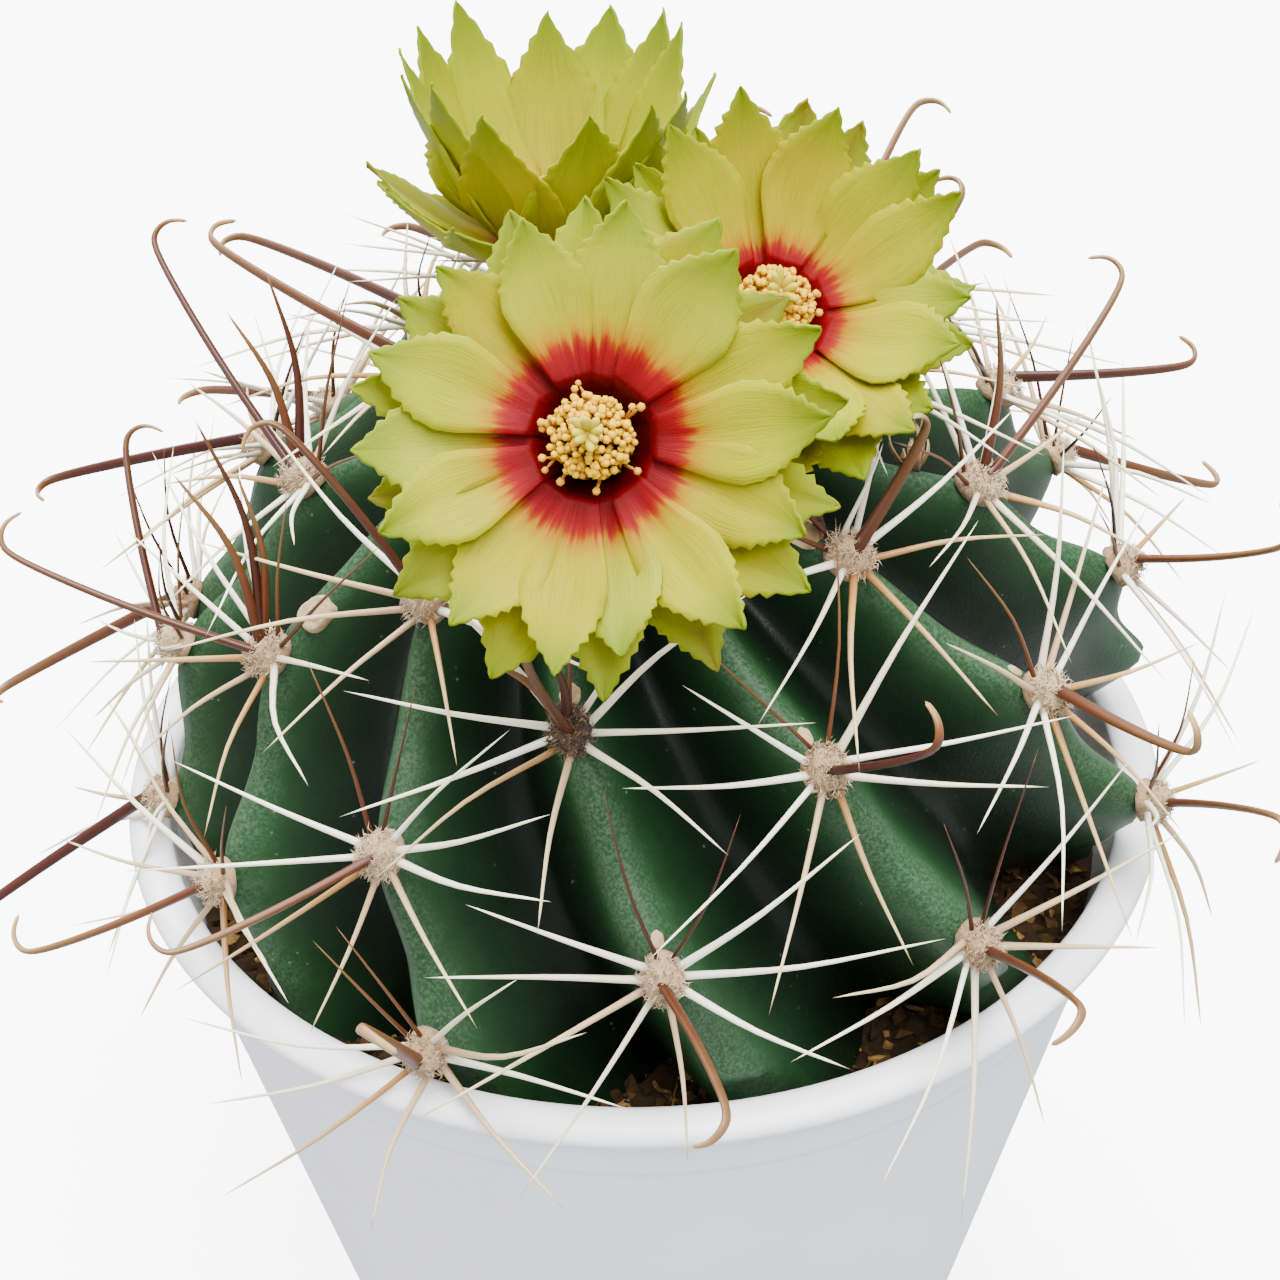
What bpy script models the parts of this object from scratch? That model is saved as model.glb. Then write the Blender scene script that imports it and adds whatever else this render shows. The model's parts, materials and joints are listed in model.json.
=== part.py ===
"""Round hooked-spine cactus in flower, standing in a tapered plastic pot.

Metres, +Z up. The origin is the centre of the pot's foot, and the plant's best side faces -Y.
Every angle round the plant is counted from -Y towards +X. The stem is a squashed ball whose
ribs twist. Its areoles follow one spiral: each next one is AREOLE_STEP ribs further round and a
little lower, so neighbouring ribs carry them at staggered heights.
"""

import math
import random

import bmesh
import bpy
import numpy as np
from mathutils import Matrix, Vector
from mathutils.bvhtree import BVHTree

MM = 0.001
GAP = 0.35 * MM  # air kept between pieces that touch in the real plant

# Pot
POT_HEIGHT = 70 * MM
POT_RIM_RADIUS = 45 * MM
POT_FOOT_RADIUS = 28 * MM
POT_WALL = 1.3 * MM
POT_FLOOR = 1.6 * MM
LIP_WIDTH = 3.6 * MM
LIP_HEIGHT = 2.4 * MM
LIP_OVERHANG = 2.0 * MM
COLLAR_HEIGHT = 8 * MM
COLLAR_STEP = 0.4 * MM
DRAIN_COUNT = 4
DRAIN_RADIUS = 3 * MM
DRAIN_CIRCLE = 17 * MM
POT_SIDES = 48

# Soil
SOIL_BELOW_RIM = 10 * MM
SOIL_MOUND = 1.2 * MM
SOIL_GAP = 0.7 * MM
SOIL_SKIN = 0.6 * MM  # least soil between the stem's hollow and the pot's wall

# Stem
STEM_RADIUS = 43.5 * MM
CROWN_HEIGHT = 41.3 * MM
BASE_DEPTH = 24 * MM
STEM_ABOVE_RIM = 0.8 * MM
STEM_OFFSET = 1.5 * MM
STEM_LEAN_FRONT = math.radians(10)
STEM_LEAN_LEFT = math.radians(6.3)
CROWN_DIMPLE = 2.5 * MM
RIBS = 13
RIB_START = math.radians(0.3)
RIB_TWIST = 0.316
VALLEY_DEPTH = 9.5 * MM
TUBERCLE_HEIGHT = 2.2 * MM
STEM_CLEARANCE = 1.0 * MM
SHOULDER_SLOPE = 0.6

# Areoles and spines
AREOLE_COUNT = 33
AREOLE_FIRST = -7
AREOLE_STEP = 8
AREOLE_ZERO = math.radians(37.6)
AREOLE_PITCH = math.radians(25.2)
WOOL_RADIUS = 1.9 * MM
WOOL_HEIGHT = 1.3 * MM
SPINE_LENGTH = 17 * MM
SPINE_WIDTH = 0.75 * MM
HOOK_LENGTH = 17 * MM
HOOK_WIDTH = 1.25 * MM
HOOK_RADIUS = 1.9 * MM
# Clock angle from the growing point, share of SPINE_LENGTH, share of SPINE_WIDTH
RADIAL_SPINES = (
    (-157, 0.80, 0.9),
    (-123, 1.05, 1.0),
    (-93, 1.05, 1.0),
    (-64, 1.00, 1.0),
    (-24, 0.80, 0.6),
    (8, 0.90, 0.6),
    (42, 0.95, 0.8),
    (72, 1.05, 1.0),
    (100, 1.05, 1.0),
    (140, 0.85, 0.9),
)
# Hooked spines that grow a particular way, by areole: clock angle, lift from the skin,
# share of HOOK_LENGTH, and clock angle that the hook curls to. The others hang down.
HOOKS = {
    3: (-54, 43, 0.92, -150),
    5: (75, 55, 0.72, -60),
    6: (-93, 46, 1.25, -30),
    8: (0, 70, 0.72, 45),
    10: (114, 43, 1.05, 60),
    11: (-99, 52, 1.15, -15),
    13: (108, 73, 0.70, 30),
    16: (-120, 40, 0.90, -15),
    18: (-84, 62, 1.00, 45),
    19: (-42, 24, 0.95, -30),
    21: (141, 70, 0.85, -105),
    23: (-45, 46, 1.05, 75),
    24: (-126, 43, 0.90, -45),
    26: (-9, 68, 1.00, -90),
    29: (27, 37, 1.05, 135),
    31: (-21, 43, 1.00, -105),
}

# Flowers: root on the stem (angle round, angle from the crown), throat measured from the crown
# (across in tube radii, so that wider tubes stand further apart, and up in mm), axis (angle round,
# lean from upright), radius across the tepal tips in mm, rise of the tips in mm
FLOWERS = {
    "front": ((0, 5), (0.06, -4.6, 10.8), (-5, 52), 16.3, 2.5),
    "right": ((85, 11), (2.6, -0.48, 7.4), (14, 35), 13.8, 7.3),
    "rear": ((-165, 19), (-0.5, 2.56, 5.5), (180, 4), 12.2, 13.0),
}
TEPALS = 11
TUBE_FOOT_RADIUS = 2.7 * MM
TUBE_TOP_RADIUS = 5.0 * MM
TUBE_WALL = 0.9 * MM
TUBE_CUP = 5.0 * MM
TEPAL_THICKNESS = 0.5 * MM
TEPAL_SPACE = 1.0 * MM
STAMEN_RADIUS = 3.1 * MM
STYLE_RADIUS = 0.55 * MM

RIM_Z = POT_HEIGHT
MOUTH_RADIUS = POT_RIM_RADIUS - LIP_WIDTH
COLLAR_RADIUS = POT_RIM_RADIUS - LIP_OVERHANG
SOIL_Z = RIM_Z - SOIL_BELOW_RIM
STEM_FRAME = (
    Matrix.Translation((STEM_OFFSET, 0, RIM_Z + STEM_ABOVE_RIM))
    @ Matrix.Rotation(-STEM_LEAN_LEFT, 4, "Y")
    @ Matrix.Rotation(STEM_LEAN_FRONT, 4, "X")
)


def clear_scene():
    for obj in list(bpy.data.objects):
        bpy.data.objects.remove(obj, do_unlink=True)


def material(name, colour, roughness, metallic=0.0):
    """A Principled material, made once and shared by name."""
    found = bpy.data.materials.get(name)
    if found:
        return found
    made = bpy.data.materials.new(name)
    made.use_nodes = True
    shader = made.node_tree.nodes["Principled BSDF"]
    shader.inputs["Base Color"].default_value = (*colour, 1.0)
    shader.inputs["Roughness"].default_value = roughness
    shader.inputs["Metallic"].default_value = metallic
    made.diffuse_color = (*colour, 1.0)
    return made


def white_plastic():
    return material("white_plastic", (0.86, 0.87, 0.89), 0.35)


def potting_soil():
    return material("potting_soil", (0.10, 0.06, 0.035), 0.95)


def stem_skin():
    return material("stem_skin", (0.045, 0.14, 0.06), 0.5)


def spine_horn():
    return material("spine_horn", (0.72, 0.66, 0.52), 0.45)


def tube_scales():
    return material("tube_scales", (0.30, 0.38, 0.12), 0.55)


def tepal_skin():
    return material("tepal_skin", (0.72, 0.72, 0.14), 0.5)


def pollen():
    return material("pollen", (0.90, 0.70, 0.05), 0.8)


def stigma_skin():
    return material("stigma_skin", (0.88, 0.82, 0.35), 0.6)


def add_object(name, vertices, faces, finish, smooth=True):
    """A mesh object with outward normals."""
    mesh = bpy.data.meshes.new(name)
    mesh.from_pydata([tuple(v) for v in vertices], [], faces)
    work = bmesh.new()
    work.from_mesh(mesh)
    bmesh.ops.recalc_face_normals(work, faces=work.faces)
    if work.calc_volume(signed=True) < 0:
        bmesh.ops.reverse_faces(work, faces=work.faces)
    work.to_mesh(mesh)
    work.free()
    if smooth:
        mesh.shade_smooth()
        mesh.set_sharp_from_angle(angle=math.radians(40))
    mesh.materials.append(finish)
    obj = bpy.data.objects.new(name, mesh)
    bpy.context.scene.collection.objects.link(obj)
    return obj


def loft(rings, closed_start=True, closed_end=True):
    """Vertices and faces of a skin over rings of equally many points, capped by flat faces."""
    sides = len(rings[0])
    vertices = [point for ring in rings for point in ring]
    faces = []
    for row in range(len(rings) - 1):
        for side in range(sides):
            here = row * sides + side
            beside = row * sides + (side + 1) % sides
            faces.append((here, beside, beside + sides, here + sides))
    if closed_start:
        faces.append(tuple(reversed(range(sides))))
    if closed_end:
        faces.append(tuple(range(len(vertices) - sides, len(vertices))))
    return vertices, faces


def turned(name, profile, sides, finish):
    """A body turned about Z from (radius, height) points that start and end on the axis."""
    vertices = [Vector((0, 0, profile[0][1]))]
    for radius, height in profile[1:-1]:
        for side in range(sides):
            angle = math.tau * side / sides
            vertices.append(Vector((radius * math.cos(angle), radius * math.sin(angle), height)))
    vertices.append(Vector((0, 0, profile[-1][1])))
    last = len(vertices) - 1
    rows = len(profile) - 2
    faces = []
    for side in range(sides):
        beside = (side + 1) % sides
        faces.append((0, 1 + beside, 1 + side))
        top = 1 + (rows - 1) * sides
        faces.append((last, top + side, top + beside))
        for row in range(rows - 1):
            low = 1 + row * sides
            faces.append((low + side, low + beside, low + sides + beside, low + sides + side))
    return add_object(name, vertices, faces, finish)


def cut(obj, cutter):
    """Takes the cutter's shape out of the object."""
    cutter.hide_render = True
    cutter.display_type = "WIRE"
    step = obj.modifiers.new(cutter.name, "BOOLEAN")
    step.operation = "DIFFERENCE"
    step.solver = "EXACT"
    step.object = cutter


# --- pot and soil ---------------------------------------------------------------------------


def wall_outer_radius(height):
    """Outer radius of the tapered wall below the collar."""
    share = height / (RIM_Z - LIP_HEIGHT)
    return POT_FOOT_RADIUS + (COLLAR_RADIUS - COLLAR_STEP - POT_FOOT_RADIUS) * share


def wall_inner_radius(height):
    return wall_outer_radius(height) - POT_WALL


def lip_arc():
    """The rolled rim, from its outer edge over the top to its inner edge."""
    middle = POT_RIM_RADIUS - LIP_WIDTH / 2
    steps = 6
    arc = []
    for step in range(steps + 1):
        angle = math.pi * step / steps
        reach = LIP_WIDTH / 2 * math.cos(angle)
        arc.append((middle + reach, RIM_Z - LIP_HEIGHT / 2 + LIP_HEIGHT / 2 * math.sin(angle)))
    return arc


def make_pot():
    chamfer = 0.8 * MM
    collar_foot = RIM_Z - COLLAR_HEIGHT
    collar_foot_radius = wall_outer_radius(collar_foot) + COLLAR_STEP
    profile = [(0, 0), (POT_FOOT_RADIUS - chamfer, 0), (POT_FOOT_RADIUS, chamfer)]
    profile.append((wall_outer_radius(collar_foot - COLLAR_STEP), collar_foot - COLLAR_STEP))
    profile.append((collar_foot_radius, collar_foot))
    profile.append((COLLAR_RADIUS, RIM_Z - LIP_HEIGHT))
    profile += lip_arc()
    inner_top = RIM_Z - LIP_HEIGHT
    profile.append((min(MOUTH_RADIUS, wall_inner_radius(inner_top)), inner_top))
    profile.append((wall_inner_radius(POT_FLOOR), POT_FLOOR))
    profile.append((0, POT_FLOOR))
    pot = turned("pot", profile, POT_SIDES, white_plastic())
    for hole in range(DRAIN_COUNT):
        angle = math.tau * (hole + 0.5) / DRAIN_COUNT
        low, high = -POT_FLOOR, 2 * POT_FLOOR
        drill = turned(
            f"drain_drill_{hole}",
            [(0, low), (DRAIN_RADIUS, low), (DRAIN_RADIUS, high), (0, high)],
            10,
            white_plastic(),
        )
        drill.location = (DRAIN_CIRCLE * math.cos(angle), DRAIN_CIRCLE * math.sin(angle), 0)
        cut(pot, drill)
    return pot


def make_soil():
    floor = POT_FLOOR + GAP
    profile = [(0, floor), (wall_inner_radius(floor) - GAP, floor)]
    profile.append((wall_inner_radius(SOIL_Z) - GAP, SOIL_Z))
    profile.append((wall_inner_radius(SOIL_Z) * 0.8, SOIL_Z + SOIL_MOUND))
    profile.append((0, SOIL_Z + SOIL_MOUND))
    soil = turned("soil", profile, POT_SIDES, potting_soil())
    cut(soil, stem_body("soil_hollow", SOIL_GAP, lowest_rows_only=True))
    return soil


# --- stem -----------------------------------------------------------------------------------


def crest_azimuth(rib, polar):
    """Angle round the stem of a rib's crest. Ribs stand wider apart on the front."""
    even = RIB_START + rib * math.tau / RIBS + RIB_TWIST * (polar - math.radians(60))
    spread = math.radians(3.6) * math.sin(even) + math.radians(1.7) * math.sin(2 * even)
    return even + spread


def tubercle(rib, polar):
    """1 where a rib carries an areole, 0 half way between two."""
    phase = (polar - AREOLE_ZERO) / AREOLE_PITCH - rib * 5 / RIBS
    return math.cos(math.pi * (phase - round(phase))) ** 2


def pot_limit(height):
    """How far from the pot's axis the stem may reach at a height: it is squeezed by the mouth."""
    inside = MOUTH_RADIUS - STEM_CLEARANCE
    if height > RIM_Z:
        return inside + SHOULDER_SLOPE * (height - RIM_Z)
    return min(inside, wall_inner_radius(height) - GAP - SOIL_SKIN - SOIL_GAP)


def stem_point(rib, across, polar, grow=0.0):
    """A point of the stem's skin: across runs from -0.5 to 0.5 between two valleys."""
    ridge = (0.5 + 0.5 * math.cos(math.tau * across)) ** 1.2
    valley = VALLEY_DEPTH * math.sin(polar) ** 0.8
    dip = TUBERCLE_HEIGHT * math.sin(polar) * (1 - tubercle(rib, polar))
    inset = valley * (1 - ridge) + dip * ridge - grow
    scale = 1 - inset / STEM_RADIUS
    azimuth = crest_azimuth(rib + across, polar)
    upright = CROWN_HEIGHT if polar < math.pi / 2 else BASE_DEPTH
    dimple = CROWN_DIMPLE * math.exp(-((polar / math.radians(14)) ** 2))
    reach = STEM_RADIUS * scale * math.sin(polar)
    local = Vector((
        reach * math.sin(azimuth),
        -reach * math.cos(azimuth),
        upright * scale * math.cos(polar) - dimple,
    ))
    point = STEM_FRAME @ local
    limit = pot_limit(point.z) + grow
    distance = math.hypot(point.x, point.y)
    if distance > limit:
        point.x *= limit / distance
        point.y *= limit / distance
    return point


def stem_body(name, grow=0.0, lowest_rows_only=False):
    """The ribbed stem, or the same shape grown a little for the hollow it makes in the soil."""
    first = 80 if lowest_rows_only else 8
    rows = [math.radians(angle) for angle in range(first, 172, 9)]
    columns = (-0.5, -0.2, 0.0, 0.2)
    rings = []
    for polar in rows:
        ring = [stem_point(rib, across, polar, grow) for rib in range(RIBS) for across in columns]
        rings.append(ring)
    vertices, faces = loft(rings, closed_start=False, closed_end=False)
    sides = RIBS * len(columns)
    if lowest_rows_only:
        top = sum(rings[0], Vector()) / sides + Vector((0, 0, SOIL_BELOW_RIM))
    else:
        top = stem_point(0, 0, 0.0, grow)
    bottom = stem_point(0, 0, math.pi, grow)
    vertices += [top, bottom]
    last_row = (len(rows) - 1) * sides
    for side in range(sides):
        beside = (side + 1) % sides
        faces.append((len(vertices) - 2, beside, side))
        faces.append((len(vertices) - 1, last_row + side, last_row + beside))
    return add_object(name, vertices, faces, stem_skin())


def crest_frame(rib, polar):
    """Crest point, outward normal, direction to the growing point, and direction to the right."""
    step = math.radians(1)
    here = stem_point(rib, 0, polar)
    up = (stem_point(rib, 0, polar - step) - stem_point(rib, 0, polar + step)).normalized()
    centre = STEM_FRAME.translation
    out = here - centre
    out = (out - up * out.dot(up)).normalized()
    return here, out, up, up.cross(out)


# --- free space -----------------------------------------------------------------------------


class Surroundings:
    """What is already in place, so that a spine can be grown where there is room for it."""

    def __init__(self):
        self.trees = []
        self.taken = []

    def add(self, obj):
        graph = bpy.context.evaluated_depsgraph_get()
        evaluated = obj.evaluated_get(graph)
        mesh = evaluated.to_mesh()
        vertices = [obj.matrix_world @ v.co for v in mesh.vertices]
        faces = [tuple(face.vertices) for face in mesh.polygons]
        evaluated.to_mesh_clear()
        self.trees.append(BVHTree.FromPolygons(vertices, faces))

    def surface_height(self, point, out, radius):
        """How high the first piece, the stem, reaches under a disc, measured along out."""
        reach = 12 * MM
        side = out.orthogonal().normalized()
        other = out.cross(side)
        heights = [0.0]
        for ring in (0.0, 0.5, 1.0):
            for turn in range(12):
                angle = math.tau * turn / 12
                spot = side * math.cos(angle) + other * math.sin(angle)
                start = point + spot * radius * ring + out * reach
                hit = self.trees[0].ray_cast(start, -out, 2 * reach)
                if hit[0]:
                    heights.append((hit[0] - point).dot(out))
        return max(heights)

    def touches_others(self, point, space):
        """True when any piece but the stem comes this near a point."""
        return any(tree.find_nearest(point, space)[0] for tree in self.trees[1:])

    def is_free(self, path, space, owner):
        """True when a path of points keeps clear of every piece and of every other spine."""
        for start, end in zip(path, path[1:]):
            way = end - start
            for tree in self.trees:
                if tree.ray_cast(start, way.normalized(), way.length)[0]:
                    return False
        spots = samples(path)
        for spot in spots:
            for tree in self.trees:
                if tree.find_nearest(spot, space)[0]:
                    return False
        grid = np.array(spots)[:, None]
        for others, other_owner, other_space in self.taken:
            if other_owner != owner:
                gaps = np.linalg.norm(grid - others, axis=2)
                if gaps.min() < space + other_space:
                    return False
        return True

    def take(self, path, space, owner):
        self.taken.append((np.array(samples(path)), owner, space))


def samples(path, spacing=0.4 * MM):
    """Points along a path, closely spaced."""
    found = []
    for start, end in zip(path, path[1:]):
        steps = max(1, math.ceil((end - start).length / spacing))
        found += [start.lerp(end, step / steps) for step in range(steps)]
    return found + [path[-1]]


# --- areoles and spines ---------------------------------------------------------------------


class Areole:
    """A woolly cushion on a rib's crest, with its radial spines and one hooked central spine."""

    def __init__(self, number, rib, polar, around):
        self.number = number
        self.name = f"areole_{number:02d}"
        self.draw = random.Random(number)
        while True:
            crest, self.out, self.up, self.right = crest_frame(rib, polar)
            height = around.surface_height(crest, self.out, WOOL_RADIUS)
            self.seat = crest + self.out * (height + GAP)
            if not around.touches_others(self.seat, WOOL_RADIUS + 2 * GAP):
                break
            polar -= math.radians(1)
        around.take([self.seat, self.seat + self.out * WOOL_HEIGHT], WOOL_RADIUS, self.name)
        self.clocks = []
        for clock, _, _ in RADIAL_SPINES:
            self.clocks.append(math.radians(clock + self.draw.uniform(-7, 7)))

    def tangent(self, clock):
        return self.up * math.cos(clock) + self.right * math.sin(clock)

    def spine_path(self, clock, lift, length):
        """Foot, middle and tip of a radial spine, which bends back towards the stem."""
        along = self.tangent(clock)
        foot = self.seat + along * WOOL_RADIUS * 0.9 + self.out * WOOL_HEIGHT * 0.4
        way = along * math.cos(lift) + self.out * math.sin(lift)
        middle = foot + way * length * 0.45 + self.out * length * 0.03
        return [foot, middle, foot + way * length]

    def hook_path(self, clock, lift, length, curl):
        """A straight spine that ends in a hook, as a line of points."""
        along = self.tangent(clock)
        way = along * math.cos(lift) + self.out * math.sin(lift)
        side = self.tangent(curl)
        side = (side - way * side.dot(way)).normalized()
        start = self.seat + self.out * WOOL_HEIGHT
        bend = start + way * length
        path = [start, start.lerp(bend, 0.5) - side * length * 0.02, bend]
        for turn in (50, 105, 160):
            angle = math.radians(turn)
            reach = side * (1 - math.cos(angle)) + way * math.sin(angle)
            path.append(bend + reach * HOOK_RADIUS)
        return path

    def grow_hook(self, around, wish):
        clock, lift, share, curl = wish
        for more in range(0, 60, 6):
            for turn in (0, 8, -8, 16, -16):
                for shorter in (1.0, 0.85):
                    path = self.hook_path(
                        math.radians(clock + turn),
                        math.radians(min(lift + more, 88)),
                        HOOK_LENGTH * share * shorter,
                        math.radians(curl),
                    )
                    free_part = [path[0].lerp(path[1], 0.2)] + path[1:]
                    if around.is_free(free_part, HOOK_WIDTH / 2 + GAP / 2, self.name):
                        around.take(path, HOOK_WIDTH / 2, self.name)
                        return path
        raise RuntimeError(f"{self.name}: no room for the hooked spine")

    def grow_radials(self, around):
        grown = []
        for (_, share, width), clock in zip(RADIAL_SPINES, self.clocks):
            length = SPINE_LENGTH * share * self.draw.uniform(0.88, 1.1)
            grown.append((self.grow_radial(around, clock, length), width))
        return grown

    def grow_radial(self, around, clock, length):
        lean = self.draw.uniform(10, 18)
        for shorter in (1.0, 0.8, 0.6, 0.4, 0.25, 0.15):
            for more in range(0, 71, 7):
                for turn in (0, 6, -6, 14, -14):
                    path = self.spine_path(
                        clock + math.radians(turn), math.radians(lean + more), length * shorter
                    )
                    free_part = [path[0].lerp(path[1], 0.3), path[1], path[2]]
                    if around.is_free(free_part, SPINE_WIDTH / 2 + GAP / 2, self.name):
                        around.take(path, SPINE_WIDTH / 2, self.name)
                        return path
        return self.spine_path(clock, math.radians(78), length * 0.1)

    def build(self, radials, hook):
        """One body: the cushion's side faces run out into the radial spines, its top into the hook."""
        count = len(radials)
        corners = []
        for index in range(count):
            here, after = self.clocks[index], self.clocks[(index + 1) % count]
            if index == count - 1:
                after += math.tau
            corners.append((here + after) / 2)
        vertices, faces = [], []

        def ring(radius, height):
            first = len(vertices)
            for corner in corners:
                vertices.append(self.seat + self.tangent(corner) * radius + self.out * height)
            return [first + index for index in range(count)]

        low = ring(WOOL_RADIUS * 0.9, 0)
        high = ring(WOOL_RADIUS, WOOL_HEIGHT * 0.75)
        cap = ring(HOOK_WIDTH * 0.9, WOOL_HEIGHT)
        faces.append(tuple(reversed(low)))
        for index in range(count):
            after = (index + 1) % count
            faces.append((high[index], high[after], cap[after], cap[index]))
            path, width = radials[after]
            sides = self.spine_ring(vertices, path, width)
            foot = (low[index], low[after], high[after], high[index])
            tip = len(vertices)
            vertices.append(path[2])
            for edge in range(4):
                beyond = (edge + 1) % 4
                faces.append((foot[edge], foot[beyond], sides[beyond], sides[edge]))
                faces.append((sides[edge], sides[beyond], tip))
        self.stitch_hook(vertices, faces, cap, hook)
        return add_object(self.name, vertices, faces, spine_horn(), smooth=False)

    def spine_ring(self, vertices, path, width):
        """Four points round the middle of a radial spine, low edge first."""
        way = (path[2] - path[0]).normalized()
        across = way.cross(self.out).normalized() * SPINE_WIDTH / 2 * width
        rise = across.cross(way).normalized() * SPINE_WIDTH / 2 * width
        if rise.dot(self.out) < 0:
            rise = -rise
        if across.cross(rise).dot(way) > 0:
            across = -across
        first = len(vertices)
        middle = path[1]
        vertices.extend((middle - across - rise, middle + across - rise))
        vertices.extend((middle + across + rise, middle - across + rise))
        return [first, first + 1, first + 2, first + 3]

    def stitch_hook(self, vertices, faces, cap, path):
        """The hooked spine as a five-sided tapering tube that grows out of the cushion's top."""
        sides = len(cap) // 2
        spokes = [(vertices[cap[2 * index]] - self.seat) for index in range(sides)]
        spokes = [(spoke - self.out * spoke.dot(self.out)).normalized() for spoke in spokes]
        heading = self.out
        previous = None
        for step, centre in enumerate(path[1:-1], start=1):
            way = (path[step + 1] - path[step - 1]).normalized()
            turn = heading.rotation_difference(way)
            spokes = [turn @ spoke for spoke in spokes]
            heading = way
            radius = HOOK_WIDTH / 2 * (1 - 0.55 * step / (len(path) - 1))
            ring = [len(vertices) + index for index in range(sides)]
            vertices.extend(centre + spoke * radius for spoke in spokes)
            if previous is None:
                for index in range(sides):
                    after = (index + 1) % sides
                    near, between, far = cap[2 * index], cap[2 * index + 1], cap[(2 * index + 2) % len(cap)]
                    faces.append((near, between, ring[index]))
                    faces.append((between, ring[after], ring[index]))
                    faces.append((between, far, ring[after]))
            else:
                for index in range(sides):
                    after = (index + 1) % sides
                    faces.append((previous[index], previous[after], ring[after], ring[index]))
            previous = ring
        tip = len(vertices)
        vertices.append(path[-1])
        for index in range(sides):
            faces.append((previous[index], previous[(index + 1) % sides], tip))


def hook_wish(number):
    """Clock angle, lift, share of HOOK_LENGTH and clock angle of the curl for one areole."""
    if number in HOOKS:
        return HOOKS[number]
    draw = random.Random(100 + number)
    return draw.uniform(140, 220), draw.uniform(35, 50), draw.uniform(0.85, 1.1), draw.choice((90, -90))


def make_areoles(around):
    areoles = []
    for number in range(AREOLE_COUNT):
        turn = AREOLE_FIRST + number
        rib = (AREOLE_STEP * turn) % RIBS
        polar = AREOLE_ZERO + turn * AREOLE_PITCH / RIBS
        areoles.append(Areole(number + 1, rib, polar, around))
    hooks = [areole.grow_hook(around, hook_wish(areole.number)) for areole in areoles]
    for areole, hook in zip(areoles, hooks):
        areole.build(areole.grow_radials(around), hook)


# --- flowers --------------------------------------------------------------------------------


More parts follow.
